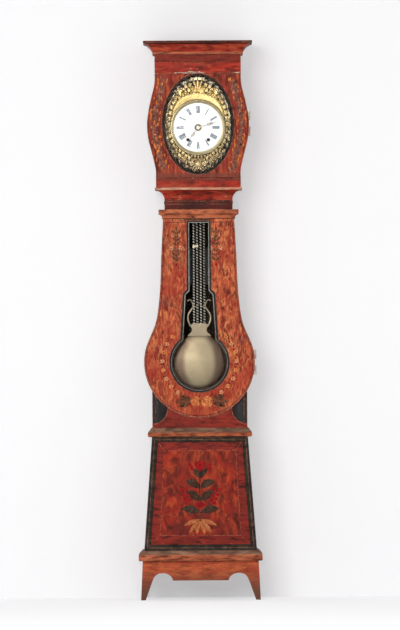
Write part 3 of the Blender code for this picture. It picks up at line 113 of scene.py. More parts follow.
class ClockPaint(bpy.types.PropertyGroup):
    """Colours of the painted case."""
    red: tint("Red", "Body colour of the hood and base", 182, 50, 33)
    deep_red: tint("Deep red", "Shaded patches of the red paint", 112, 38, 30)
    orange: tint("Orange", "Body colour of the trunk", 188, 81, 53)
    deep_orange: tint("Deep orange", "Shaded patches of the trunk paint", 144, 48, 34)
    ochre: tint("Ochre", "Pale figure of the painted grain", 214, 120, 68)
    streak: tint("Streak", "Dark strokes of the painted grain", 62, 26, 22)
    brown: tint("Brown", "Worn orange-brown of the mouldings", 194, 108, 76)
    black: tint("Black", "Black paint of the frames and spandrels", 46, 44, 42)
    bare: tint("Bare wood", "Pale wood where the paint has gone", 196, 150, 112)
    leaf: tint("Leaf", "Painted leaves", 84, 66, 52)
    cream: tint("Cream", "Painted petals", 232, 182, 130)
    rose: tint("Rose", "Painted roses", 214, 96, 58)
    berry: tint("Berry", "Painted berries", 172, 26, 30)
    line: tint("Line", "Pale border lines", 206, 128, 98)
    wear: share("Wear", "How much paint is lost along edges", 0.75)


class ClockMetal(bpy.types.PropertyGroup):
    """Colours of the metal parts."""
    brass: tint("Brass", "Polished brass", 206, 176, 116)
    old_brass: tint("Old brass", "Dulled brass of the pendulum", 168, 150, 122)
    recess: tint("Recess", "Dark ground of the pressed surround", 26, 20, 14)
    steel: tint("Steel", "Worked steel", 128, 122, 114)
    iron: tint("Iron", "Forged iron", 46, 43, 41)
    bell: tint("Bell metal", "Pale bronze of the bell", 190, 168, 120)


class ClockOrnament(bpy.types.PropertyGroup):
    """Sizes of the applied ornament."""
    rim: length("Rim width", "Width of the black bead round the glazed openings", 0.0068)
    rim_rise: length("Rim rise", "How far the bead stands out of the door", 0.0030)
    numeral: length("Numeral height", "Height of the hour numerals", 0.0300)
    numeral_ring: length("Numeral ring", "Radius of the middle of the numerals", 0.0770)
    relief: length("Relief", "Depth of the pressed brass ornament", 0.0075)
    twist: length("Twist", "Length of a full turn of the twisted rods", 0.0480)
    paint: length("Paint film", "Thickness of painted ornament", 0.00025)


class ClockStage(bpy.types.PropertyGroup):
    """Camera, wall and floor."""
    distance: length("Distance", "Camera distance from the front of the clock", 30.0)
    eye: length("Eye height", "Camera height", 1.2235)
    view: length("View height", "Height of the view at the clock", 2.7046)
    wall: length("Wall", "Distance of the wall behind the middle of the clock", 0.20)
    ground: tint("Ground", "Colour of floor and wall", 250, 250, 251)


GROUPS = (ClockPaint, ClockMetal, ClockOrnament, ClockStage)


def settings(name):
    return getattr(bpy.context.scene, "clock_" + name)


# Shader nodes

def put(tree, kind, inputs=None, **values):
    """Add a node; an input's value may be a socket to link or a plain value."""
    node = tree.nodes.new(kind)
    for key, value in values.items():
        setattr(node, key, value)
    for key, value in (inputs or {}).items():
        if isinstance(value, bpy.types.NodeSocket):
            tree.links.new(value, node.inputs[key])
        else:
            node.inputs[key].default_value = value
    return node


def maths(tree, operation, a, b=0.0):
    return put(tree, "ShaderNodeMath", {0: a, 1: b}, operation=operation).outputs[0]


def vector(tree, operation, a, b):
    return put(tree, "ShaderNodeVectorMath", {0: a, 1: b}, operation=operation).outputs[0]


def spread(tree, value, low, high, to_low=0.0, to_high=1.0):
    """Stretch the part of a value between low and high to a new range."""
    ends = {"Value": value, "From Min": low, "From Max": high, "To Min": to_low, "To Max": to_high}
    return put(tree, "ShaderNodeMapRange", ends).outputs[0]


def noise(tree, place, scale, detail=3.0, rough=0.55, bend=0.0):
    ends = {"Vector": place, "Scale": scale, "Detail": detail, "Roughness": rough, "Distortion": bend}
    return put(tree, "ShaderNodeTexNoise", ends).outputs[0]


def blended(tree, factor, a, b, mode="MIX"):
    node = put(tree, "ShaderNodeMix", {0: factor, 6: a, 7: b}, data_type="RGBA", blend_type=mode)
    return node.outputs[2]


def opaque(colour):
    return (colour[0], colour[1], colour[2], 1.0)


def shader_group(name, inputs, outputs):
    """A node group with named sockets: (name, type, default) in, (name, type) out."""
    tree = bpy.data.node_groups.new(name, "ShaderNodeTree")
    for label, kind, default in inputs:
        socket = tree.interface.new_socket(label, in_out="INPUT", socket_type="NodeSocket" + kind)
        socket.default_value = default
    for label, kind in outputs:
        tree.interface.new_socket(label, in_out="OUTPUT", socket_type="NodeSocket" + kind)
    return tree, tree.nodes.new("NodeGroupInput").outputs, tree.nodes.new("NodeGroupOutput").inputs


def edge_wear_group():
    """A mask of the convex edges, broken up by noise."""
    tree, give, take = shader_group("edge_wear", [("Reach", "Float", 0.004), ("Break", "Float", 45.0)],
                                    [("Mask", "Float")])
    rounded = put(tree, "ShaderNodeBevel", {"Radius": give["Reach"]}, samples=6).outputs[0]
    plain = put(tree, "ShaderNodeNewGeometry").outputs["Normal"]
    lean = put(tree, "ShaderNodeVectorMath", {0: rounded, 1: plain}, operation="DOT_PRODUCT").outputs["Value"]
    edge = spread(tree, lean, 0.995, 0.90)
    place = put(tree, "ShaderNodeTexCoord").outputs["Object"]
    broken = spread(tree, noise(tree, place, give["Break"], 4.0, 0.65), 0.44, 0.60)
    tree.links.new(maths(tree, "MULTIPLY", edge, broken), take["Mask"])
    return tree


def aged_paint_group():
    """Streaked paint in imitation of wood, chipped and worn along its edges."""
    colours = [("Deep", "Color", (0.1, 0.02, 0.01, 1.0)), ("Body", "Color", (0.3, 0.05, 0.02, 1.0)),
               ("Light", "Color", (0.5, 0.2, 0.05, 1.0)), ("Streak", "Color", (0.05, 0.01, 0.01, 1.0)),
               ("Bare", "Color", (0.5, 0.35, 0.2, 1.0))]
    values = [("Stretch", "Vector", (14.0, 14.0, 4.0)), ("Figure", "Float", 0.6), ("Streaks", "Float", 0.5),
              ("Chips", "Float", 0.5), ("Edges", "Float", 0.6), ("Finish", "Float", 0.45),
              ("Band", "Color", (0.0, 0.0, 0.0, 1.0)), ("Band Low", "Float", -9.0), ("Band High", "Float", -8.0)]
    tree, give, take = shader_group("aged_paint", colours + values,
                                    [("Color", "Color"), ("Roughness", "Float"), ("Height", "Float")])
    place = put(tree, "ShaderNodeTexCoord").outputs["Object"]
    along = vector(tree, "MULTIPLY", place, give["Stretch"])
    fine = vector(tree, "MULTIPLY", along, (4.5, 4.5, 4.5))
    patch = noise(tree, along, 1.0, 5.0, 0.62, 0.9)
    cloud = noise(tree, vector(tree, "ADD", along, (3.7, 1.9, 8.1)), 2.3, 4.0, 0.6, 1.5)
    streak = noise(tree, fine, 1.0, 5.0, 0.62, 0.5)
    mottle = noise(tree, place, 70.0, 4.0, 0.7, 0.4)
    colour = blended(tree, spread(tree, patch, 0.36, 0.62), give["Deep"], give["Body"])
    figure = maths(tree, "MULTIPLY", spread(tree, cloud, 0.46, 0.64), give["Figure"])
    colour = blended(tree, figure, colour, give["Light"])
    height = put(tree, "ShaderNodeSeparateXYZ", {0: place}).outputs["Z"]
    above = spread(tree, maths(tree, "SUBTRACT", height, give["Band Low"]), -0.0015, 0.0015)
    below = spread(tree, maths(tree, "SUBTRACT", give["Band High"], height), -0.0015, 0.0015)
    colour = blended(tree, maths(tree, "MULTIPLY", maths(tree, "MULTIPLY", above, below), 0.92), colour, give["Band"])
    dark = maths(tree, "MULTIPLY", spread(tree, streak, 0.48, 0.66), give["Streaks"])
    colour = blended(tree, dark, colour, give["Streak"])
    speck = maths(tree, "MULTIPLY", spread(tree, mottle, 0.55, 0.75), 0.35)
    colour = blended(tree, speck, colour, give["Streak"])
    chip = spread(tree, noise(tree, place, 95.0, 3.0, 0.6), 0.665, 0.70)
    chip = maths(tree, "MULTIPLY", chip, spread(tree, cloud, 0.42, 0.55))
    edge = put(tree, "ShaderNodeGroup", node_tree=bpy.data.node_groups["edge_wear"]).outputs[0]
    worn = maths(tree, "MAXIMUM", maths(tree, "MULTIPLY", chip, give["Chips"]),
                 maths(tree, "MULTIPLY", edge, give["Edges"]))
    tree.links.new(blended(tree, worn, colour, give["Bare"]), take["Color"])
    rough = maths(tree, "ADD", give["Finish"], spread(tree, streak, 0.3, 0.8, -0.08, 0.14))
    tree.links.new(maths(tree, "ADD", rough, maths(tree, "MULTIPLY", worn, 0.2)), take["Roughness"])
    relief = maths(tree, "ADD", maths(tree, "MULTIPLY", streak, 0.5), maths(tree, "MULTIPLY", patch, 0.4))
    tree.links.new(maths(tree, "SUBTRACT", relief, maths(tree, "MULTIPLY", worn, 0.6)), take["Height"])
    return tree


def tarnish_group():
    """Metal that has dulled in patches, with fine rub marks."""
    tree, give, take = shader_group(
        "tarnish", [("Bright", "Color", (0.6, 0.45, 0.2, 1.0)), ("Dull", "Color", (0.2, 0.14, 0.06, 1.0)),
                    ("Patch", "Float", 18.0), ("Amount", "Float", 0.5), ("Finish", "Float", 0.3)],
        [("Color", "Color"), ("Roughness", "Float"), ("Height", "Float")])
    place = put(tree, "ShaderNodeTexCoord").outputs["Object"]
    patch = spread(tree, noise(tree, place, give["Patch"], 5.0, 0.6, 0.6), 0.38, 0.68)
    fine = noise(tree, place, 260.0, 3.0, 0.6)
    amount = maths(tree, "MULTIPLY", patch, give["Amount"])
    colour = blended(tree, amount, give["Bright"], give["Dull"])
    tree.links.new(blended(tree, spread(tree, fine, 0.55, 0.8, 0.0, 0.35), colour, give["Dull"]), take["Color"])
    tree.links.new(maths(tree, "ADD", give["Finish"], spread(tree, patch, 0.0, 1.0, -0.05, 0.18)),
                   take["Roughness"])
    tree.links.new(fine, take["Height"])
    return tree


def faded_group():
    """Thin brushed colour, rubbed through to the ground here and there."""
    tree, give, take = shader_group(
        "faded", [("Hue", "Color", (0.5, 0.2, 0.1, 1.0)), ("Shade", "Color", (0.1, 0.05, 0.03, 1.0)),
                  ("Loss", "Float", 0.4)], [("Color", "Color"), ("Alpha", "Float")])
    place = put(tree, "ShaderNodeTexCoord").outputs["Object"]
    brush = spread(tree, noise(tree, place, 130.0, 3.0, 0.6, 0.8), 0.42, 0.66)
    rub = spread(tree, noise(tree, vector(tree, "ADD", place, (5.0, 2.0, 9.0)), 75.0, 4.0, 0.7), 0.40, 0.56)
    tree.links.new(blended(tree, brush, give["Hue"], give["Shade"]), take["Color"])
    kept = maths(tree, "SUBTRACT", 1.0, maths(tree, "MULTIPLY", rub, give["Loss"]))
    tree.links.new(kept, take["Alpha"])
    return tree


def grouped_material(name, group, inputs, bump=0.0, **fixed):
    """A Principled material whose colour, roughness and relief come from a group."""
    material = bpy.data.materials.new(name)
    material.use_nodes = True
    tree = material.node_tree
    surface = tree.nodes["Principled BSDF"]
    node = put(tree, "ShaderNodeGroup", node_tree=bpy.data.node_groups[group])
    for key, value in inputs.items():
        node.inputs[key].default_value = value
    tree.links.new(node.outputs["Color"], surface.inputs["Base Color"])
    for socket in ("Roughness", "Alpha"):
        if socket in node.outputs:
            tree.links.new(node.outputs[socket], surface.inputs[socket])
    if bump:
        relief = put(tree, "ShaderNodeBump", {"Height": node.outputs["Height"], "Strength": bump,
                                              "Distance": 0.0008})
        tree.links.new(relief.outputs[0], surface.inputs["Normal"])
    surface.inputs["Specular IOR Level"].default_value = 0.08
    for key, value in fixed.items():
        surface.inputs[key.replace("_", " ").title()].default_value = value
    return material


# Mesh helpers

def new_piece(name, bm, materials, body, smooth=False):
    """Link a mesh as a piece that rides on a body."""
    bmesh.ops.recalc_face_normals(bm, faces=bm.faces)
    mesh = bpy.data.meshes.new(name)
    bm.to_mesh(mesh)
    bm.free()
    for material in materials:
        mesh.materials.append(bpy.data.materials[material])
    if smooth:
        mesh.shade_smooth()
    piece = bpy.data.objects.new(name, mesh)
    bpy.context.scene.collection.objects.link(piece)
    if body:
        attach(piece, body)
    return piece


def prism(bm, loop, y, rise, slot=0):
    """A thin plate with its back at y and its face towards the front."""
    back = [bm.verts.new((x, y, z)) for x, z in loop]
    face = [bm.verts.new((x, y - rise, z)) for x, z in loop]
    made = [bm.faces.new(face), bm.faces.new(list(reversed(back)))]
    for i in range(len(loop)):
        j = (i + 1) % len(loop)
        made.append(bm.faces.new((back[i], back[j], face[j], face[i])))
    for one in made:
        one.material_index = slot


def normals(path, closed):
    """Unit normals in the XZ plane at the points of a path."""
    points = np.array(path, float)
    if closed:
        ahead, behind = np.roll(points, -1, 0), np.roll(points, 1, 0)
    else:
        ahead, behind = np.vstack((points[1:], points[-1:])), np.vstack((points[:1], points[:-1]))
    lead = ahead - points
    trail = points - behind
    for side in (lead, trail):
        size = np.linalg.norm(side, axis=1, keepdims=True)
        side /= np.where(size < 1e-9, 1.0, size)
    along = lead + trail
    along /= np.linalg.norm(along, axis=1, keepdims=True)
    return np.stack((along[:, 1], -along[:, 0]), 1)


def swept(bm, path, section, y, closed=False, slot=0, widths=None):
    """Run a section of (across, out) points along a path on the front plane, wider or narrower by `widths`."""
    rings = []
    for i, ((x, z), (nx, nz)) in enumerate(zip(path, normals(path, closed))):
        grow = widths[i] if widths else 1.0
        rings.append([bm.verts.new((x + nx * a * grow, y - out, z + nz * a * grow))
                      for a, out in section])
    count = len(section)
    last = len(rings) if closed else len(rings) - 1
    for i in range(last):
        here, there = rings[i], rings[(i + 1) % len(rings)]
        for k in range(count):
            m = (k + 1) % count
            bm.faces.new((here[k], here[m], there[m], there[k])).material_index = slot
    if not closed:
        bm.faces.new(rings[0]).material_index = slot
        bm.faces.new(list(reversed(rings[-1]))).material_index = slot


def flat_section(width, rise):
    return [(-width / 2, 0.0), (-width / 2, rise), (width / 2, rise), (width / 2, 0.0)]


def round_section(width, rise, steps=7):
    return [(-width / 2 * math.cos(math.pi * i / steps), rise * math.sin(math.pi * i / steps))
            for i in range(steps + 1)]


def arc(cx, cz, radius, start, end, steps):
    turns = [math.radians(start + (end - start) * i / steps) for i in range(steps + 1)]
    return [(cx + radius * math.cos(t), cz + radius * math.sin(t)) for t in turns]


def ellipse(cx, cz, a, b, lean=0.0, steps=16):
    c, s = math.cos(math.radians(lean)), math.sin(math.radians(lean))
    loop = []
    for i in range(steps):
        t = 2 * math.pi * i / steps
        u, v = a * math.cos(t), b * math.sin(t)
        loop.append((cx + u * c - v * s, cz + u * s + v * c))
    return loop


def leaf(x, z, long, wide, lean, bend=0.0):
    """A pointed leaf from its foot, leaning at an angle from the X axis."""
    c, s = math.cos(math.radians(lean)), math.sin(math.radians(lean))
    edge = [(t, math.sin(math.pi * t) ** 0.8) for t in (0.0, 0.15, 0.32, 0.5, 0.68, 0.85, 1.0)]
    up = [(t * long, w * wide / 2 + bend * math.sin(math.pi * t)) for t, w in edge]
    down = [(t * long, -w * wide / 2 + bend * math.sin(math.pi * t)) for t, w in edge[-2:0:-1]]
    return [(x + u * c - v * s, z + u * s + v * c) for u, v in up + down]


def curve_through(points, steps=6):
    """A smooth path through points."""
    path = []
    ends = [points[0]] + list(points) + [points[-1]]
    for p0, p1, p2, p3 in zip(ends, ends[1:], ends[2:], ends[3:]):
        for i in range(steps):
            t = i / steps
            path.append(tuple(0.5 * (2 * b + (c - a) * t + (2 * a - 5 * b + 4 * c - d) * t * t
                                     + (3 * b - a - 3 * c + d) * t ** 3)
                              for a, b, c, d in zip(p0, p1, p2, p3)))
    return path + [tuple(points[-1])]


def flip(points):
    return [(-x, z) for x, z in reversed(points)]


def lathe(bm, profile, corner, sides, slot=0, ring=False):
    """Turn (radius, height) points about an axis that corner(a, b, height) places."""
    rings = []
    for radius, height in profile:
        if radius < 1e-7:
            rings.append([bm.verts.new(corner(0.0, 0.0, height))])
        else:
            rings.append([bm.verts.new(corner(radius * math.cos(2 * math.pi * i / sides),
                                              radius * math.sin(2 * math.pi * i / sides), height))
                          for i in range(sides)])
    pairs = list(zip(rings, rings[1:]))
    if ring:
        pairs.append((rings[-1], rings[0]))
    for low, high in pairs:
        for i in range(sides):
            j = (i + 1) % sides
            face = [low[i % len(low)], low[j % len(low)], high[j % len(high)], high[i % len(high)]]
            bm.faces.new(list(dict.fromkeys(face))).material_index = slot


def facing(cx, cz):
    """Corner for a lathe whose axis runs front to back."""
    return lambda a, b, y: (cx + a, y, cz + b)


def upright(cx, cy):
    """Corner for a lathe whose axis runs up."""
    return lambda a, b, z: (cx + a, cy + b, z)


def oval_path(grow, steps=96):
    return [((OVAL_A + grow) * math.cos(2 * math.pi * i / steps),
             OVAL_Z + (OVAL_B + grow) * math.sin(2 * math.pi * i / steps)) for i in range(steps)]


def opening_path(grow, round_grow):
    """Outline of the trunk door's glazed opening, its slot and its round window widened on their own."""
    radius = WINDOW_R + round_grow
    foot = 0.074 + grow
    turn = math.degrees(math.acos(foot / radius))
    right = [(0.045 + grow, SLOT_TOP + grow), (0.045 + grow, 1.330 + grow * 0.4),
             (0.062 + grow, 1.312 + grow * 0.4)]
    return right + arc(0.0, BELLY_Z, radius, turn, -180.0 - turn, 48) + flip(right)


# Materials

def make_materials():
    """Every finish of the clock, from the shared groups."""
    edge_wear_group()
    aged_paint_group()
    tarnish_group()
    faded_group()
    paint = settings("paint")
    metal = settings("metal")
    wear = paint.wear
    upright_grain = (16.0, 16.0, 4.5)
    level_grain = (4.0, 4.0, 16.0)

    def painted(name, deep, body, light, grain, figure, streaks, chips, edges, finish=0.42, bump=0.35, band=None):
        inputs = {"Deep": opaque(deep), "Body": opaque(body), "Light": opaque(light),
                  "Streak": opaque(paint.streak), "Bare": opaque(paint.bare), "Stretch": grain,
                  "Figure": figure, "Streaks": streaks, "Chips": chips * wear, "Edges": edges * wear,
                  "Finish": finish}
        if band:
            inputs.update({"Band": opaque(band[0]), "Band Low": band[1], "Band High": band[2]})
        return grouped_material(name, "aged_paint", inputs, bump)

    painted("red_level", paint.deep_red, paint.red, paint.orange, level_grain, 0.7, 0.95, 0.9, 0.9)
    painted("red_upright", paint.deep_red, paint.red, paint.orange, upright_grain, 0.6, 0.85, 0.5, 0.8)
    door = painted("hood_door_paint", paint.deep_red, rgb(164, 60, 42), rgb(204, 100, 58), upright_grain, 0.65, 0.9, 0.9, 0.6)
    darken_along(door, "Z", 1.838, 1.828, rgb(118, 62, 50), 0.75)
    trunk = painted("trunk_paint", paint.deep_orange, rgb(202, 94, 60), rgb(222, 134, 80), (27.0, 27.0, 9.0), 1.0, 0.85,
                    0.7, 0.6)
    wash(trunk, 6.0, 0.47, 0.60, rgb(158, 46, 35), 0.60)
    wash(trunk, 9.0, 0.56, 0.70, rgb(104, 54, 48), 0.55)
    painted("trunk_side_paint", paint.deep_red, paint.deep_orange, paint.orange, upright_grain, 0.5, 0.6, 0.4, 0.8,
            band=(paint.black, 0.0, 0.906))
    # The darker band at the top of the frieze is darker paint of the frieze moulding and painted shade under the
    # cornice.
    painted("frieze_paint", paint.deep_red, paint.red, paint.orange, level_grain, 0.55, 0.7, 0.7, 0.9,
            band=(rgb(128, 46, 32), 2.311, 2.346))
    painted("rail_paint", paint.deep_red, paint.red, paint.orange, level_grain, 0.55, 0.7, 0.7, 0.9,
            band=(rgb(124, 52, 38), 1.797, 1.812))
    painted("worn_brown", rgb(140, 66, 44), paint.brown, rgb(206, 116, 66), level_grain, 0.6, 0.9, 0.9, 1.0, 0.5)
    apron = painted("apron_paint", paint.deep_orange, rgb(188, 88, 56), paint.ochre, level_grain, 0.45, 0.45, 0.5, 1.0,
                    0.5)
    darken_along(apron, "Z", 0.135, 0.040, rgb(106, 70, 56), 0.95)
    painted("low_rail_paint", paint.deep_red, rgb(152, 50, 38), paint.deep_orange, level_grain, 0.5, 0.8, 0.5, 0.8)
    painted("base_paint", paint.deep_red, rgb(148, 46, 37), paint.deep_orange, level_grain, 0.7, 1.0, 0.4, 0.4)
    painted("panel_field_paint", rgb(104, 38, 32), rgb(162, 46, 29), rgb(196, 80, 42), (7.0, 7.0, 4.5), 0.6, 0.85, 0.4, 0.2)
    soot = tuple(c * 0.45 for c in paint.black)
    painted("black_paint", soot, paint.black, paint.leaf, level_grain, 0.2, 0.2, 0.5, 0.6, 0.4)
    painted("black_upright", soot, rgb(56, 60, 60), rgb(84, 82, 78), upright_grain, 0.25, 0.2, 0.4, 0.6, 0.45)
    # A darker red for the neck bands; on the cornice's top edge and at the trunk cap's foot it is painted shade.
    neck = tuple(0.9 * a + 0.1 * b for a, b in zip(paint.deep_red, paint.black))
    painted("dark_neck", soot, neck, paint.deep_red, level_grain, 0.3, 0.4, 1.0, 0.9)
    painted("ledge_paint", paint.brown, rgb(202, 144, 118), rgb(226, 188, 160), level_grain, 0.6, 0.6, 0.3, 0.5, 0.6)
    painted("bevel_paint", rgb(96, 72, 58), rgb(142, 104, 84), rgb(178, 136, 110), level_grain, 0.6, 0.6, 0.5, 0.8, 0.6)
    pine = rgb(150, 108, 70)
    painted("old_pine", rgb(84, 54, 32), pine, rgb(176, 134, 90), upright_grain, 0.5, 0.55, 0.1, 0.3, 0.7)
    board = painted("back_pine", rgb(84, 54, 32), pine, rgb(176, 134, 90), upright_grain, 0.5, 0.55, 0.1, 0.3, 0.7)
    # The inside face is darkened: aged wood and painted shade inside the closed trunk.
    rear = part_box("back_board")[1].y
    darken_along(board, "Y", rear - 0.002, rear - 0.004, rgb(44, 32, 24))

    def metalled(name, bright, dull, patch, amount, finish, bump=0.08, metallic=1.0):
        inputs = {"Bright": opaque(bright), "Dull": opaque(dull), "Patch": patch, "Amount": amount,
                  "Finish": finish}
        return grouped_material(name, "tarnish", inputs, bump, metallic=metallic)

    dim = tuple(c * 0.35 for c in metal.brass)
    metalled("brass", metal.brass, dim, 22.0, 0.45, 0.26)
    drum = metalled("drum_brass", metal.brass, dim, 22.0, 0.45, 0.26)
    darken_along(drum, "Y", -0.080, -0.081, metal.iron)
    metalled("bezel_brass", rgb(158, 144, 112), rgb(104, 88, 62), 9.0, 0.35, 0.30)
    bob = metalled("bob_brass", tuple(c * 0.56 for c in metal.old_brass), tuple(c * 0.36 for c in metal.old_brass),
                   14.0, 0.35, 0.36)
    # Painted reflection and shade on the bob: a bright upright oval in its middle, darker out to the rim.
    darken_rim(bob, 0.094, 0.126, rgb(86, 70, 58))
    lyre = metalled("lyre_brass", rgb(150, 137, 118), rgb(100, 88, 74), 40.0, 0.5, 0.38)
    darken_along(lyre, "Z", 1.194, 1.186, rgb(104, 92, 76), 0.9)
    metalled("steel", metal.steel, tuple(c * 0.3 for c in metal.steel), 60.0, 0.5, 0.30)
    metalled("hinge_steel", rgb(214, 208, 198), rgb(150, 142, 132), 60.0, 0.4, 0.42)
    metalled("boss_metal", rgb(120, 106, 84), rgb(70, 60, 48), 60.0, 0.5, 0.36)
    metalled("hand_metal", rgb(150, 142, 130), rgb(88, 82, 76), 90.0, 0.4, 0.32)
    metalled("iron", metal.iron, tuple(c * 0.4 for c in metal.iron), 30.0, 0.6, 0.5, 0.2, 0.7)
    metalled("bell_bronze", metal.bell, tuple(c * 0.4 for c in metal.bell), 16.0, 0.4, 0.25)
    metalled("gut", rgb(150, 118, 74), rgb(92, 66, 40), 120.0, 0.6, 0.6, 0.3, 0.0)
    metalled("enamel", rgb(209, 209, 212), rgb(200, 200, 204), 6.0, 0.25, 0.12, 0.0, 0.0)
    metalled("ink", rgb(50, 55, 70), rgb(88, 93, 108), 160.0, 0.5, 0.4, 0.0, 0.0)

    def brushed(name, hue, shade, loss):
        grouped_material(name, "faded", {"Hue": opaque(hue), "Shade": opaque(shade), "Loss": loss}, 0.0,
                         roughness=0.5)

    brushed("leaf_paint", paint.leaf, tuple(c * 0.5 for c in paint.leaf), 0.55)
    brushed("cream_paint", paint.cream, paint.rose, 0.4)
    brushed("rose_paint", paint.rose, paint.deep_orange, 0.35)
    brushed("rose_light", rgb(234, 158, 92), rgb(214, 104, 56), 0.35)
    brushed("garland_leaf", rgb(148, 58, 36), rgb(112, 50, 36), 0.4)
    brushed("hood_leaf", rgb(152, 98, 82), rgb(122, 76, 66), 0.6)
    brushed("hood_stain", rgb(186, 122, 98), rgb(140, 82, 66), 0.6)
    brushed("fleck_paint", rgb(232, 142, 70), rgb(218, 104, 48), 0.3)
    brushed("soft_leaf", rgb(126, 86, 60), rgb(98, 62, 46), 0.75)
    brushed("berry_paint", paint.berry, tuple(c * 0.5 for c in paint.berry), 0.3)
    brushed("flame_paint", paint.ochre, paint.orange, 0.5)
    brushed("line_paint", paint.line, paint.deep_orange, 0.7)
    brushed("crack_paint", tuple(c * 0.4 for c in paint.streak), paint.streak, 0.3)
    brushed("petal_paint", rgb(206, 128, 78), rgb(170, 88, 52), 0.35)
    brushed("edge_paint", rgb(190, 112, 92), rgb(150, 78, 66), 0.75)
    brushed("slot_line", rgb(194, 194, 186), rgb(138, 138, 130), 0.25)
    brushed("loss_paint", rgb(226, 204, 188), paint.bare, 0.5)
    make_glass()
    make_rod_steel()
    make_relief_brass()


def darken_along(material, axis, start, end, colour, most=1.0):
    """Turn a material into a darker colour from one place on an axis to another."""
    tree = material.node_tree
    socket = tree.nodes["Principled BSDF"].inputs["Base Color"]
    plain = socket.links[0].from_socket
    place = put(tree, "ShaderNodeTexCoord").outputs["Object"]
    reach = put(tree, "ShaderNodeSeparateXYZ", {0: place}).outputs[axis]
    tree.links.new(blended(tree, spread(tree, reach, start, end, 0.0, most), plain, opaque(colour)), socket)


def wash(material, scale, low, high, colour, most):
    """Lay broad clouds of another colour over a material."""
    tree = material.node_tree
    socket = tree.nodes["Principled BSDF"].inputs["Base Color"]
    plain = socket.links[0].from_socket
    place = put(tree, "ShaderNodeTexCoord").outputs["Object"]
    cloud = spread(tree, noise(tree, place, scale, 4.0, 0.6, 0.8), low, high, 0.0, most)
    tree.links.new(blended(tree, cloud, plain, opaque(colour)), socket)


def darken_rim(material, inner, outer, colour):
    """Painted reflection and shade on a round piece: the colour darkens from an upright oval at its middle, where a
    tall lamp's reflection would fall, out to its rim.
    """
    tree = material.node_tree
    socket = tree.nodes["Principled BSDF"].inputs["Base Color"]
    plain = socket.links[0].from_socket
    place = put(tree, "ShaderNodeTexCoord").outputs["Object"]
    offset = vector(tree, "SUBTRACT", place, (0.0, 0.0, BELLY_Z))
    flat = vector(tree, "MULTIPLY", offset, (1.68, 0.0, 0.98))
    reach = put(tree, "ShaderNodeVectorMath", {0: flat}, operation="LENGTH").outputs["Value"]
    tree.links.new(blended(tree, spread(tree, reach, inner, outer), plain, opaque(colour)), socket)


def make_rod_steel():
    """Twisted steel with painted highlights and shade: the colour is bright where the flats would face out and dark
    where they turn away.
    """
    metal = settings("metal")
    material = bpy.data.materials.new("rod_steel")
    material.use_nodes = True
    tree = material.node_tree
    surface = tree.nodes["Principled BSDF"]
    place = put(tree, "ShaderNodeTexCoord").outputs["Object"]
    axes = put(tree, "ShaderNodeSeparateXYZ", {0: place}).outputs
    slant = maths(tree, "ADD", axes["Z"], maths(tree, "MULTIPLY", axes["X"], 0.45))
    turn = maths(tree, "MULTIPLY", slant, 4.0 * 2.0 * math.pi / settings("ornament").twist)
    # Painted highlights and shade: a pale band and a dark band for each flat, slanted with the twist.
    flat = spread(tree, maths(tree, "SINE", turn), -0.10, 0.95)
    colour = blended(tree, flat, opaque([c * 0.10 for c in metal.steel]), opaque(rgb(206, 200, 188)))
    tree.links.new(colour, surface.inputs["Base Color"])
    surface.inputs["Metallic"].default_value = 0.8
    surface.inputs["Roughness"].default_value = 0.38


def make_glass():
    """Thin clear glass that lets the lamps reach what is behind it."""
    material = bpy.data.materials.new("old_glass")
    material.use_nodes = True
    tree = material.node_tree
    glass = tree.nodes["Principled BSDF"]
    glass.inputs["Base Color"].default_value = (0.96, 0.98, 0.97, 1.0)
    glass.inputs["Transmission Weight"].default_value = 1.0
    glass.inputs["IOR"].default_value = 1.05
    place = put(tree, "ShaderNodeTexCoord").outputs["Object"]
    tree.links.new(spread(tree, noise(tree, place, 9.0, 4.0), 0.4, 0.7, 0.01, 0.05), glass.inputs["Roughness"])
    ripple = put(tree, "ShaderNodeBump", {"Height": noise(tree, place, 14.0, 2.0), "Strength": 0.04,
                                          "Distance": 0.002})
    tree.links.new(ripple.outputs[0], glass.inputs["Normal"])
    through = put(tree, "ShaderNodeBsdfTransparent")
    ray = put(tree, "ShaderNodeLightPath").outputs["Is Shadow Ray"]
    mixed = put(tree, "ShaderNodeMixShader", {0: ray, 1: glass.outputs[0], 2: through.outputs[0]})
    tree.links.new(mixed.outputs[0], tree.nodes["Material Output"].inputs["Surface"])


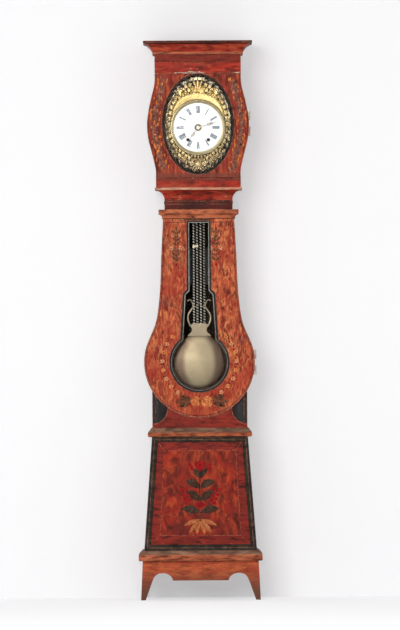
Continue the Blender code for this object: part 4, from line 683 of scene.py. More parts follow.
def make_relief_brass():
    """Pressed brass: bright on the raised work and dark in the ground, by the relief's own height, with a painted
    highlight paling it towards the oval's edge and painted shade on its left side.
    """
    metal = settings("metal")
    material = bpy.data.materials.new("relief_brass")
    material.use_nodes = True
    tree = material.node_tree
    surface = tree.nodes["Principled BSDF"]
    node = put(tree, "ShaderNodeGroup", node_tree=bpy.data.node_groups["tarnish"])
    for key, value in (("Bright", opaque([c * 0.86 for c in metal.brass])), ("Dull", opaque([c * 0.42 for c in metal.brass])),
                       ("Patch", 40.0), ("Amount", 0.5), ("Finish", 0.28)):
        node.inputs[key].default_value = value
    rise = put(tree, "ShaderNodeAttribute", attribute_name="rise").outputs["Fac"]
    rim = put(tree, "ShaderNodeAttribute", attribute_name="rim").outputs["Fac"]
    # Painted highlight: a pale colour over the band near the oval's edge, where the rim attribute rises.
    painted_rim_highlight = blended(tree, maths(tree, "MULTIPLY", rim, 0.65), node.outputs["Color"], opaque(rgb(216, 208, 184)))
    high = spread(tree, rise, 0.10, 0.42)
    place = put(tree, "ShaderNodeTexCoord").outputs["Object"]
    height = put(tree, "ShaderNodeSeparateXYZ", {0: place}).outputs["Z"]
    low = spread(tree, height, DIAL_Z - 0.07, DIAL_Z - 0.14, 0.0, 0.8)
    worked = blended(tree, low, painted_rim_highlight, opaque(rgb(142, 122, 96)))
    colour = blended(tree, high, opaque(metal.recess), worked)
    tree.links.new(colour, surface.inputs["Base Color"])
    tree.links.new(spread(tree, high, 0.0, 1.0, 0.65, 0.27), surface.inputs["Roughness"])
    tree.links.new(spread(tree, high, 0.0, 1.0, 0.5, 1.0), surface.inputs["Metallic"])
    # Painted shade: the left side of the surround is darkened.
    darken_along(material, "X", -0.088, -0.132, rgb(104, 86, 62), 0.55)


FINISHES = {
    "low_rail_paint": ("trunk_lower_rail",),
    "frieze_paint": ("hood_frieze",),
    "rail_paint": ("hood_bottom_rail",),
    "red_upright": ("hood_left_side", "hood_right_side"),
    "hood_door_paint": ("hood_door",),
    "trunk_paint": ("trunk_door",),
    "trunk_side_paint": ("trunk_left_side", "trunk_right_side"),
    "base_paint": ("base_front_panel", "base_left_side", "base_right_side"),
    "apron_paint": ("front_apron", "left_apron", "right_apron"),
    "black_upright": ("trunk_spandrel_board",),
    "old_pine": ("hood_top_board", "seat_board"),
    "back_pine": ("back_board",),
    "old_glass": ("trunk_door_glass", "hood_door_glass"),
    "brass": ("trunk_lock_bolt", "going_second_wheel", "escape_wheel", "strike_second_wheel", "motion_wheel",
              "hour_wheel"),
    "drum_brass": ("going_drum", "strike_drum"),
    "lyre_brass": ("rating_nut",),
    "steel": ("anchor",),
    "hand_metal": ("minute_hand", "hour_hand"),
    "iron": ("trunk_door_lock", "movement_frame", "hammer", "going_weight", "strike_weight"),
    "hinge_steel": tuple("%s_door_%s_hinge_%s_leaf" % (door, level, side) for door in ("trunk", "hood")
                         for level in ("lower", "upper") for side in ("case", "door")),
    "bell_bronze": ("bell",),
    "enamel": ("dial",),
}


def lamp(name, place, target, width, height, power, warmth=(1.0, 1.0, 1.0)):
    """A soft rectangular lamp turned towards a point."""
    data = bpy.data.lights.new(name, "AREA")
    data.shape = "RECTANGLE"
    data.size = width
    data.size_y = height
    data.energy = power
    data.color = warmth
    light = bpy.data.objects.new(name, data)
    light.location = place
    light.rotation_euler = (Vector(target) - Vector(place)).to_track_quat("-Z", "Y").to_euler()
    bpy.context.scene.collection.objects.link(light)


def seen_rays(tree):
    """One for rays that show the ground to the camera, directly or through glass."""
    path = put(tree, "ShaderNodeLightPath").outputs
    return maths(tree, "MAXIMUM", path["Is Camera Ray"], path["Is Transmission Ray"])


def ground_material(name, lift):
    """Matt white that keeps shadows and is open seen from behind."""
    material = bpy.data.materials.new(name)
    material.use_nodes = True
    tree = material.node_tree
    tree.nodes.remove(tree.nodes["Principled BSDF"])
    colour = opaque(settings("stage").ground)
    matt = put(tree, "ShaderNodeBsdfDiffuse", {"Color": colour})
    glow = put(tree, "ShaderNodeEmission", {"Color": colour, "Strength": 1.20})
    factor = maths(tree, "MULTIPLY", seen_rays(tree), lift)
    lit = put(tree, "ShaderNodeMixShader", {0: factor, 1: matt.outputs[0], 2: glow.outputs[0]})
    behind = put(tree, "ShaderNodeNewGeometry").outputs["Backfacing"]
    clear = put(tree, "ShaderNodeBsdfTransparent")
    mixed = put(tree, "ShaderNodeMixShader", {0: behind, 1: lit.outputs[0], 2: clear.outputs[0]})
    tree.links.new(mixed.outputs[0], tree.nodes["Material Output"].inputs["Surface"])
    return material


def ground_plane(name, corners, material):
    mesh = bpy.data.meshes.new(name)
    mesh.from_pydata(corners, [], [(0, 1, 2, 3)])
    mesh.materials.append(material)
    plane = bpy.data.objects.new(name, mesh)
    bpy.context.scene.collection.objects.link(plane)


class CLOCK_OT_stage(bpy.types.Operator):
    """Set up floor, wall, lamps and camera"""
    bl_idname = "clock.stage"
    bl_label = "Stage"

    def execute(self, context):
        stage = settings("stage")
        scene = context.scene
        wide, near, deep, tall = 9.0, 4.2, 9.0, 7.0
        ground_plane("floor", [(-wide, -near, 0), (wide, -near, 0), (wide, deep, 0), (-wide, deep, 0)],
                     ground_material("floor_white", 0.50))
        ground_plane("wall", [(-wide, stage.wall, 0), (wide, stage.wall, 0), (wide, stage.wall, tall),
                              (-wide, stage.wall, tall)], ground_material("wall_white", 0.32))
        world = bpy.data.worlds.new("studio")
        world.use_nodes = True
        tree = world.node_tree
        air = tree.nodes["Background"]
        air.inputs["Color"].default_value = opaque(stage.ground)
        tree.links.new(spread(tree, seen_rays(tree), 0.0, 1.0, 0.30, 1.0), air.inputs["Strength"])
        scene.world = world
        middle = (0.0, 0.0, 1.25)
        lamp("key", (-1.85, -6.4, 2.75), middle, 2.7, 3.2, 206.0)
        lamp("fill", (2.5, -3.8, 2.1), middle, 2.2, 2.4, 24.0)
        lamp("front", (0.0, -5.2, 1.80), middle, 2.0, 4.4, 22.0)
        lamp("back", (1.5, 4.0, 2.8), middle, 2.5, 2.5, 70.0)
        data = bpy.data.cameras.new("camera")
        data.sensor_width = 36.0
        data.lens = data.sensor_width * stage.distance / stage.view
        camera = bpy.data.objects.new("camera", data)
        camera.location = (0.0034, BASE_FRONT - stage.distance, stage.eye)
        camera.rotation_euler = (math.radians(90.0), math.radians(0.36), 0.0)
        scene.collection.objects.link(camera)
        scene.camera = camera
        scene.view_settings.view_transform = "Standard"
        return {"FINISHED"}


class CLOCK_OT_finishes(bpy.types.Operator):
    """Build the materials and give every shown part of the frame its own"""
    bl_idname = "clock.finishes"
    bl_label = "Finishes"

    def execute(self, context):
        make_materials()
        for material, nodes in FINISHES.items():
            for node in nodes:
                NODES[node].data.materials.clear()
                NODES[node].data.materials.append(bpy.data.materials[material])
        return {"FINISHED"}


def moulding_run(name, node, profile, half, front, back, materials):
    """A mitred moulding on front and sides; a profile point is (projection, height, finish of what follows)."""
    bm = bmesh.new()
    lines = []
    for reach, z, slot in profile:
        x = half + reach
        lines.append([bm.verts.new(p) for p in ((-x, back, z), (-x, front - reach, z), (x, front - reach, z),
                                                (x, back, z))])
    for i, line in enumerate(lines):
        after = lines[(i + 1) % len(lines)]
        for k in range(3):
            bm.faces.new((line[k], line[k + 1], after[k + 1], after[k])).material_index = profile[i][2]
    for k in (0, 3):
        bm.faces.new([line[k] for line in lines])
    piece = new_piece(name, bm, materials, "case", True)
    piece.data.set_sharp_from_angle(angle=math.radians(28.0))
    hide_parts(node)


def cavetto(start, end, slot, steps=10):
    """A hollow that rises straight and turns outwards."""
    (p0, z0), (p1, z1) = start, end
    turns = [math.pi / 2 * i / steps for i in range(steps + 1)]
    return [(p0 + (p1 - p0) * (1 - math.cos(t)), z0 + (z1 - z0) * math.sin(t), slot) for t in turns]


class CLOCK_OT_mouldings(bpy.types.Operator):
    """Run the cornice, hood base, cap, trunk foot and plinth mouldings"""
    bl_idname = "clock.mouldings"
    bl_label = "Mouldings"

    def execute(self, context):
        low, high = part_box("cornice_moulding")
        back = high.y
        top = high.z
        hollow = curve_through([(0.0093, top - 0.0465), (0.0127, top - 0.0381), (0.0176, top - 0.0302),
                                (0.0240, top - 0.0224), (0.0323, top - 0.0151), (0.0417, top - 0.0106),
                                (0.0490, top - 0.0084)], 3)
        profile = [(-0.007, low.z, 0), (0.0093, low.z, 1)]
        # The upper hollow and the top fillet take the dark neck red: painted shade under the cornice's top edge.
        profile += [(out, z, 2 if out > 0.031 else 0) for out, z in hollow]
        profile += [(0.0490, top - 0.001, 2), (0.0480, top, 3), (-0.007, top, 0)]
        moulding_run("cornice", "cornice_moulding", profile, 0.185, HOOD_FRONT, back,
                     ("red_level", "worn_brown", "dark_neck", "old_pine"))
        low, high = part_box("hood_base_moulding")
        foot, top = low.z, high.z
        front = TRUNK_FRONT + 0.007
        profile = [(-0.020, foot, 0), (0.0, foot, 1), (0.0, foot + 0.022, 1), (0.0018, foot + 0.0235, 1),
                   (0.0018, foot + 0.0345, 1), (0.0, foot + 0.036, 1), (0.0, foot + 0.0395, 0)]
        profile += cavetto((0.0, foot + 0.040), (0.0360, top - 0.0100), 0)
        profile += [(0.0410, top - 0.0100, 2), (0.0410, top - 0.001, 2), (0.0400, top, 2), (-0.020, top, 0)]
        moulding_run("hood_base", "hood_base_moulding", profile, 0.146, front, back,
                     ("red_level", "dark_neck", "ledge_paint"))
        low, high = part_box("trunk_cap_moulding")
        foot, top = low.z, high.z
        # The narrow lip at the foot takes the dark neck red: painted shade under the cap.
        profile = [(-0.025, foot, 0), (0.003, foot, 1), (0.0038, foot + 0.002, 1)]
        profile += cavetto((0.0043, foot + 0.002), (0.0172, foot + 0.0195), 0, 6)
        profile += [(0.0190, foot + 0.0203, 0), (0.0190, top - 0.0015, 0), (0.0175, top, 2), (-0.025, top, 0)]
        moulding_run("trunk_cap", "trunk_cap_moulding", profile, 0.153, TRUNK_FRONT, back,
                     ("worn_brown", "dark_neck", "worn_brown"))
        low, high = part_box("trunk_foot_moulding")
        foot, top = low.z, high.z
        profile = [(-0.030, foot, 0), (0.014, foot, 0), (0.0185, foot + 0.002, 0), (0.020, foot + 0.005, 0),
                   (0.020, foot + 0.0165, 0), (0.0188, foot + 0.019, 1), (0.0040, top, 1), (-0.030, top, 0)]
        moulding_run("trunk_foot", "trunk_foot_moulding", profile, 0.204, TRUNK_FRONT, back,
                     ("worn_brown", "bevel_paint"))
        low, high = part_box("plinth_moulding")
        foot, top = low.z, high.z
        profile = [(-0.020, foot, 0), (0.0200, foot, 0), (0.0230, foot + 0.0015, 0), (0.024, foot + 0.005, 0),
                   (0.024, foot + 0.0250, 0), (0.0230, foot + 0.0268, 1), (0.0077, top, 1), (-0.020, top, 0)]
        moulding_run("plinth", "plinth_moulding", profile, 0.242, BASE_FRONT, back,
                     ("worn_brown", "bevel_paint"))
        return {"FINISHED"}


def mixed_loop(outer, inner, amount):
    return [(a + (c - a) * amount, b + (d - b) * amount) for (a, b), (c, d) in zip(outer, inner)]


def base_half(z):
    """Half width of the tapered base at a height."""
    return 0.242 - 0.036 * (z - 0.212) / 0.488


class CLOCK_OT_base_panel(bpy.types.Operator):
    """Black moulded frame, ruled field and painted flowers of the base"""
    bl_idname = "clock.base_panel"
    bl_label = "Base panel"

    def execute(self, context):
        self.frame()
        self.field()
        self.flowers()
        return {"FINISHED"}

    def frame(self):
        low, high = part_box("base_panel_frame")
        y = high.y
        foot, top = low.z, high.z
        outer = [(-base_half(foot), foot), (base_half(foot), foot), (base_half(top), top), (-base_half(top), top)]
        a, b = foot + 0.026, top - 0.021
        inner = [(-base_half(a) + 0.026, a), (base_half(a) - 0.026, a), (base_half(b) - 0.026, b),
                 (-base_half(b) + 0.026, b)]
        profile = [(0.0, 0.0, 0), (0.0, 0.0070, 0), (0.05, 0.0080, 0), (0.28, 0.0080, 0), (0.36, 0.0060, 0),
                   (0.40, 0.0035, 0), (0.43, 0.0035, 1), (0.49, 0.0035, 0), (0.52, 0.0035, 0), (0.56, 0.0055, 0), (0.62, 0.0068, 0), (0.80, 0.0068, 0),
                   (0.90, 0.0055, 0), (1.0, 0.0030, 0), (1.0, 0.0, 0)]
        bm = bmesh.new()
        loops = [[bm.verts.new((x, y - rise, z)) for x, z in mixed_loop(outer, inner, s)] for s, rise, m in profile]
        for i, loop in enumerate(loops):
            after = loops[(i + 1) % len(loops)]
            for k in range(4):
                m = (k + 1) % 4
                bm.faces.new((loop[k], loop[m], after[m], after[k])).material_index = profile[i][2]
        piece = new_piece("panel_frame", bm, ("black_paint", "bevel_paint"), "case")
        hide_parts("base_panel_frame")
        self.inner = inner

    def field(self):
        film = settings("ornament").paint
        bm = bmesh.new()
        field = [(-0.174, 0.277), (0.174, 0.277), (0.153, 0.643), (-0.153, 0.643)]
        prism(bm, field, BASE_FRONT, film)
        new_piece("panel_field", bm, ("panel_field_paint",), "case")
        bm = bmesh.new()
        swept(bm, field, flat_section(0.0022, film), BASE_FRONT - film, True)
        for corner, far in zip(field, self.inner):
            swept(bm, [mixed_loop([corner], [far], 0.04)[0], mixed_loop([corner], [far], 0.98)[0]],
                  flat_section(0.0018, film), BASE_FRONT)
        new_piece("panel_lines", bm, ("line_paint",), "case")
        bm = bmesh.new()
        for x, low, high in ((0.004, 0.540, 0.640), (-0.002, 0.292, 0.345)):
            crack = [(x + 0.0015 * math.sin(17.0 * z), z) for z in np.linspace(low, high, 12)]
            swept(bm, crack, flat_section(0.0012, film), BASE_FRONT - film)
        new_piece("panel_cracks", bm, ("crack_paint",), "case")

    def flowers(self):
        """A symmetrical plant of leaves, bells and berries, of its own design."""
        film = settings("ornament").paint
        y = BASE_FRONT - film
        bm = bmesh.new()
        stem = curve_through([(0.0, 0.335), (0.004, 0.400), (-0.003, 0.470), (0.0, 0.560)])
        swept(bm, stem, flat_section(0.0045, film), y, slot=0)
        for side in (-1, 1):
            for z, long, wide, lean in ((0.375, 0.085, 0.034, 12), (0.425, 0.075, 0.036, 34),
                                        (0.480, 0.070, 0.034, 28), (0.522, 0.052, 0.026, 52)):
                prism(bm, leaf(0.0, z, long, wide, lean if side > 0 else 180 - lean, 0.006 * side), y, film, 0)
            for z, long, lean in ((0.345, 0.075, -20), (0.340, 0.070, -48), (0.338, 0.060, -74)):
                prism(bm, leaf(0.0, z, long, 0.017, lean if side > 0 else 180 - lean, 0.004 * side), y - film,
                      film, 1)
            for k, (x, z) in enumerate(((0.060, 0.470), (0.074, 0.452), (0.052, 0.448), (0.066, 0.434),
                                        (0.081, 0.474), (0.048, 0.430), (0.060, 0.416))):
                prism(bm, ellipse(side * x, z, 0.0082, 0.0082, 0, 12), y - film - k % 2 * film, film, 2)
            prism(bm, leaf(side * 0.03, 0.555, 0.040, 0.015, 62 if side > 0 else 118), y - film, film, 2)
        for lean in (66, 90, 114):
            prism(bm, leaf(0.0, 0.552, 0.052, 0.022, lean), y - film - (lean == 90) * film, film, 2)
        for dx, dz in ((0.0, 0.400), (0.012, 0.408), (-0.012, 0.408), (0.0, 0.416)):
            prism(bm, ellipse(dx, dz, 0.0085, 0.0085, 0, 12), y - 2 * film, film, 2)
        new_piece("panel_flowers", bm, ("leaf_paint", "petal_paint", "berry_paint"), "case")


def blossom(bm, x, z, size, petals, y, film, petal_slot, heart_slot):
    """A small round flower with separate petals."""
    for k in range(petals):
        turn = 2 * math.pi * k / petals
        prism(bm, ellipse(x + size * 0.55 * math.cos(turn), z + size * 0.55 * math.sin(turn), size * 0.48,
                          size * 0.34, math.degrees(turn), 10), y - film * (k % 2), film, petal_slot)
    prism(bm, ellipse(x, z, size * 0.3, size * 0.3, 0, 10), y - 2 * film, film, heart_slot)


class CLOCK_OT_trunk_ornament(bpy.types.Operator):
    """Black beads, border lines, sprigs, garland and roses of the trunk door"""
    bl_idname = "clock.trunk_ornament"
    bl_label = "Trunk ornament"

    def execute(self, context):
        size = settings("ornament")
        self.film = size.paint
        bm = bmesh.new()
        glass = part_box("trunk_door_glass")[0].y
        face = TRUNK_FRONT - size.rim_rise * 0.7
        path = opening_path(0.00175, -0.0080)
        wide = [1.0 if z > BELLY_Z + WINDOW_R * 0.80 else 1.26 for x, z in path]
        swept(bm, path, flat_section(0.0125, glass - face), glass, True, 0, wide)
        # Painted highlight: a thin pale grey line along the inner edge of the black bead.
        path = opening_path(-0.0022, -0.0093)
        thin = [1.0 if z > BELLY_Z + WINDOW_R * 0.80 else 0.30 for x, z in path]
        swept(bm, path, flat_section(0.0030, self.film), face, True, 1, thin)
        # A pale line just outside the black bead: worn paint and a painted highlight of the door's edge.
        path = opening_path(0.0092, 0.0008)
        swept(bm, path, flat_section(0.0030, self.film), TRUNK_FRONT, True, 2, thin)
        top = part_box("trunk_door")[1].z - 0.0008
        prism(bm, rectangle(-0.0530, 0.0530, SLOT_TOP + 0.0080, top), TRUNK_FRONT, self.film)
        piece = new_piece("trunk_window_bead", bm, ("black_paint", "slot_line", "edge_paint"), "trunk_door", True)
        piece.data.set_sharp_from_angle(angle=math.radians(50.0))
        self.borders()
        self.sprigs()
        self.garland()
        self.roses()
        return {"FINISHED"}

    def keep(self, name, bm, materials):
        new_piece(name, bm, materials, "trunk_door")

    def borders(self):
        inset = 0.0085
        waist = curve_through(WAIST)
        right = arc(0.0, BELLY_Z, BELLY_R - inset, -90.0, 24.0, 30)[:-1]
        right += [(x - inset, z) for x, z in waist if z < 1.618] + [(0.1455, 1.622)]
        bm = bmesh.new()
        loop = right + flip(right)[:-1]
        swept(bm, loop, flat_section(0.0020, self.film), TRUNK_FRONT, True)
        wide = [(x * (1 + 0.0052 / math.hypot(x, z - BELLY_Z)) if z < 1.1 else x + 0.0045 * (1 if x > 0 else -1),
                 z + 0.0052 * (z - BELLY_Z) / math.hypot(x, z - BELLY_Z) if z < 1.1 else z) for x, z in loop]
        swept(bm, wide, flat_section(0.0050, self.film * 0.8), TRUNK_FRONT, True, 1)
        self.keep("trunk_border", bm, ("crack_paint", "edge_paint"))
        bm = bmesh.new()
        crack = [(0.0012 * math.sin(90 * z), z) for z in np.linspace(0.786, 0.880, 14)]
        swept(bm, crack, flat_section(0.0018, 7 * self.film), TRUNK_FRONT)
        self.keep("trunk_crack", bm, ("crack_paint",))

    def sprigs(self):
        bm = bmesh.new()
        y = TRUNK_FRONT
        for x, side in ((-0.096, -1), (0.074, 1)):
            stem = curve_through([(x, 1.450), (x + 0.004 * side, 1.500), (x - 0.003, 1.550), (x, 1.592)])
            swept(bm, stem, flat_section(0.0028, self.film), y)
            for k, z in enumerate((1.458, 1.478, 1.497, 1.524, 1.541, 1.556, 1.572)):
                long = 0.022 if k % 2 else 0.026
                for lean in (42, 138):
                    prism(bm, leaf(x, z, long, 0.011, lean + 8 * (k % 2)), y - self.film, self.film, 0)
            prism(bm, leaf(x, 1.580, 0.026, 0.010, 90), y - self.film, self.film, 0)
            for dx, dz, r in ((-0.021, 1.511, 0.010), (0.019, 1.513, 0.011), (-0.014, 1.562, 0.006),
                              (0.013, 1.566, 0.006)):
                blossom(bm, x + dx, dz, r, 5, y - 2 * self.film, self.film, 1, 2)
            prism(bm, ellipse(x, 1.441, 0.005, 0.007, 0, 10), y - self.film, self.film, 3)
        self.keep("trunk_sprigs", bm, ("soft_leaf", "cream_paint", "rose_paint", "berry_paint"))

    def garland(self):
        bm = bmesh.new()
        y = TRUNK_FRONT
        reach = 0.159
        for side in (-1, 1):
            turns = list(range(44, -66, -7))
            for k, turn in enumerate(turns):
                t = math.radians(turn)
                x, z = side * reach * math.cos(t), BELLY_Z + reach * math.sin(t)
                outward = turn if side > 0 else 180 - turn
                if k % 2:
                    prism(bm, leaf(x, z, 0.015, 0.007, outward + 60), y - self.film, self.film, 0)
                    prism(bm, leaf(x, z, 0.015, 0.007, outward - 110), y - self.film, self.film, 0)
                    prism(bm, ellipse(x, z, 0.0038, 0.0038, 0, 9), y - 2 * self.film, self.film, 3)
                else:
                    blossom(bm, x, z, 0.0100, 5, y - self.film, self.film, 1 if k % 4 else 2, 3)
        self.keep("trunk_garland", bm, ("garland_leaf", "cream_paint", "rose_light", "rose_paint"))

    def roses(self):
        bm = bmesh.new()
        y = TRUNK_FRONT
        for x, z, size in ((-0.0175, 0.853, 0.0205), (0.0310, 0.851, 0.0235)):
            prism(bm, ellipse(x, z, size, size * 0.95, 0, 24), y, self.film, 1)
            for ring, (reach, count) in enumerate(((0.86, 8), (0.48, 5))):
                for k in range(count):
                    t = 2 * math.pi * (k + 0.5 * ring) / count
                    petal = ellipse(x + size * reach * math.cos(t), z + size * reach * math.sin(t), size * 0.36,
                                    size * 0.20, math.degrees(t) + 90, 12)
                    prism(bm, petal, y, (2 + ring * 2 + k % 2) * self.film, 3 if (k + ring) % 3 == 0 else 2)
            prism(bm, ellipse(x, z, size * 0.22, size * 0.22, 0, 12), y, 6 * self.film, 2)
        for foot, side in ((-0.034, -1), (0.052, 1)):
            for k, (dx, dz, long, lean) in enumerate(((0.0, 0.862, 0.056, 14), (0.004, 0.856, 0.070, -4),
                                                      (0.0, 0.848, 0.052, -20), (0.026, 0.862, 0.034, 34),
                                                      (0.030, 0.848, 0.034, -36))):
                prism(bm, leaf(foot + side * dx, dz, long, 0.021, lean if side > 0 else 180 - lean),
                      y - (k % 2) * self.film, self.film, 0)
        self.keep("trunk_roses", bm, ("soft_leaf", "rose_paint", "rose_light", "flame_paint"))


class CLOCK_OT_hood_ornament(bpy.types.Operator):
    """Black bead round the oval, and the flamed border of the hood door"""
    bl_idname = "clock.hood_ornament"
    bl_label = "Hood ornament"

    def execute(self, context):
        size = settings("ornament")
        film = size.paint
        bm = bmesh.new()
        swept(bm, oval_path(size.rim / 2 - 0.0005), round_section(size.rim, size.rim_rise), HOOD_FRONT, True)
        piece = new_piece("oval_bead", bm, ("black_paint",), "hood_door", True)
        piece.data.set_sharp_from_angle(angle=math.radians(60.0))
        edge = [p for p in curve_through(HOOD_BULGE) if 1.85 < p[1] < 2.235]
        bm = bmesh.new()
        chance = random.Random(11)
        for side in (-1, 1):
            for k, (x, z) in enumerate(edge * 2):
                blot = ellipse(side * (x - 0.033 + chance.uniform(-0.008, 0.008)), z + chance.uniform(-0.006, 0.006),
                               chance.uniform(0.005, 0.016), chance.uniform(0.003, 0.008),
                               90 + chance.uniform(-40, 40), 10)
                prism(bm, blot, HOOD_FRONT, (1 + k % 5) * film, 1 if chance.random() < 0.6 else 3)
                inset = chance.choice((0.014, 0.018, 0.047, 0.051, 0.033))
                if chance.random() < 0.5:
                    fleck = leaf(side * (x - inset + chance.uniform(-0.003, 0.003)), z, chance.uniform(0.010, 0.024),
                                 chance.uniform(0.004, 0.008), 90 + chance.uniform(-16, 16))
                    prism(bm, fleck, HOOD_FRONT, (6 + k % 3) * film, chance.choice((0, 0, 2)))
        new_piece("hood_flames", bm, ("fleck_paint", "hood_leaf", "flame_paint", "hood_stain"), "hood_door")
        bm = bmesh.new()
        line = [(x - 0.006, z) for x, z in curve_through(HOOD_BULGE)]
        for side in (line, flip(line)):
            swept(bm, side, flat_section(0.0014, film), HOOD_FRONT)
        # Painted highlight: a pale line round the oval bead, on the door's moulded edge.
        swept(bm, oval_path(size.rim + 0.0012), flat_section(0.0030, film), HOOD_FRONT, True, 1)
        new_piece("hood_lines", bm, ("crack_paint", "edge_paint"), "hood_door")
        low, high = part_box("hood_frieze")
        bm = bmesh.new()
        for x0, x1, z in ((-0.100, 0.028, low.z + 0.0030), (0.150, 0.182, low.z + 0.0036), (-0.040, 0.010, low.z + 0.006)):
            loss = [(x, z + 0.0012 * math.sin(140 * x)) for x in np.linspace(x0, x1, 24)]
            grow = [0.25 + abs(math.sin(40 * x)) for x, z in loss]
            swept(bm, loss, flat_section(0.0055, film), low.y, widths=grow)
        new_piece("frieze_paint_loss", bm, ("loss_paint",), "case")
        low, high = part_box("trunk_lower_rail")
        sweep = high.x - 0.139
        line = arc(high.x, low.z + 0.019 + sweep, sweep + 0.0022, -94.0, -176.0, 16)
        bm = bmesh.new()
        for side in (line, flip(line)):
            swept(bm, side, flat_section(0.0028, film), low.y)
        new_piece("rail_lines", bm, ("edge_paint",), "case")
        return {"FINISHED"}


NUMERALS = ("XII", "I", "II", "III", "IIII", "V", "VI", "VII", "VIII", "IX", "X", "XI")
ADVANCE = {"I": 0.38, "V": 0.66, "X": 0.66}


def stroke(a, b, wide):
    """A straight pen stroke between two heights, with level ends."""
    (x0, z0), (x1, z1) = a, b
    return [(x0 - wide / 2, z0), (x0 + wide / 2, z0), (x1 + wide / 2, z1), (x1 - wide / 2, z1)]


def numeral_strokes(letter, x):
    """Strokes of a Roman letter one unit tall, from its left side."""
    serif = 0.035
    middle = x + ADVANCE[letter] / 2
    if letter == "I":
        return [stroke((middle, 0.02), (middle, 0.98), 0.28)] + [
            stroke((middle, z), (middle, z + serif), 0.36) for z in (0.0, 1.0 - serif)]
    left, right = x + 0.11, x + ADVANCE[letter] - 0.09
    tops = [stroke((left, 1.0 - serif), (left, 1.0), 0.22), stroke((right, 1.0 - serif), (right, 1.0), 0.17)]
    if letter == "V":
        return tops + [stroke((middle + 0.01, 0.0), (left, 1.0), 0.28),
                       stroke((middle + 0.02, 0.0), (right, 1.0), 0.14)]
    feet = [stroke((left, 0.0), (left, serif), 0.17), stroke((right, 0.0), (right, serif), 0.22)]
    return tops + feet + [stroke((right, 0.0), (left, 1.0), 0.28), stroke((left, 0.0), (right, 1.0), 0.14)]


class CLOCK_OT_dial_marks(bpy.types.Operator):
    """Hour numerals, minute dots and winding collets of the dial"""
    bl_idname = "clock.dial_marks"
    bl_label = "Dial marks"

    def execute(self, context):
        size = settings("ornament")
        film = size.paint * 0.6
        tall = size.numeral
        bm = bmesh.new()
        for hour, word in enumerate(NUMERALS):
            turn = math.radians(30 * hour)
            out, across = (math.sin(turn), math.cos(turn)), (math.cos(turn), -math.sin(turn))
            pitch = 0.34 if hour == 7 else 0.38
            x = -sum(ADVANCE[c] for c in word) * pitch / 2 - (0.10 if hour == 7 else 0.0)
            order = 0
            for letter in word:
                for loop in numeral_strokes(letter, 0.0):
                    placed = []
                    for u, v in loop:
                        u, v = (x + u * pitch) * tall, size.numeral_ring + (v - 0.5) * tall
                        placed.append((u * across[0] + v * out[0], DIAL_Z + u * across[1] + v * out[1]))
                    prism(bm, placed, DIAL_FRONT - order * film * 0.12, film)
                    order += 1
                x += ADVANCE[letter] * pitch
        for minute in range(60):
            turn = math.radians(6 * minute)
            wide = 0.0013 if minute % 5 == 0 else 0.0007
            prism(bm, ellipse(0.1000 * math.sin(turn), DIAL_Z + 0.1000 * math.cos(turn), wide, wide, 0, 8), DIAL_FRONT,
                  film)
        new_piece("dial_numerals", bm, ("ink",), "case")
        bm = bmesh.new()
        for x in (-0.044, 0.044):
            section = [(0.00615, DIAL_FRONT), (0.0063, DIAL_FRONT - 0.0009), (0.0070, DIAL_FRONT - 0.0012),
                       (0.0077, DIAL_FRONT - 0.0007), (0.0078, DIAL_FRONT)]
            lathe(bm, section, facing(x, DRUM_Z), 28, ring=True)
        new_piece("winding_collets", bm, ("hand_metal",), "case", True)
        return {"FINISHED"}


def spiral(cx, cz, r0, r1, start, end, steps=26):
    path = []
    for i in range(steps + 1):
        t = i / steps
        a = math.radians(start + (end - start) * t)
        r = r0 + (r1 - r0) * t
        path.append((cx + r * math.cos(a), cz + r * math.sin(a)))
    return path


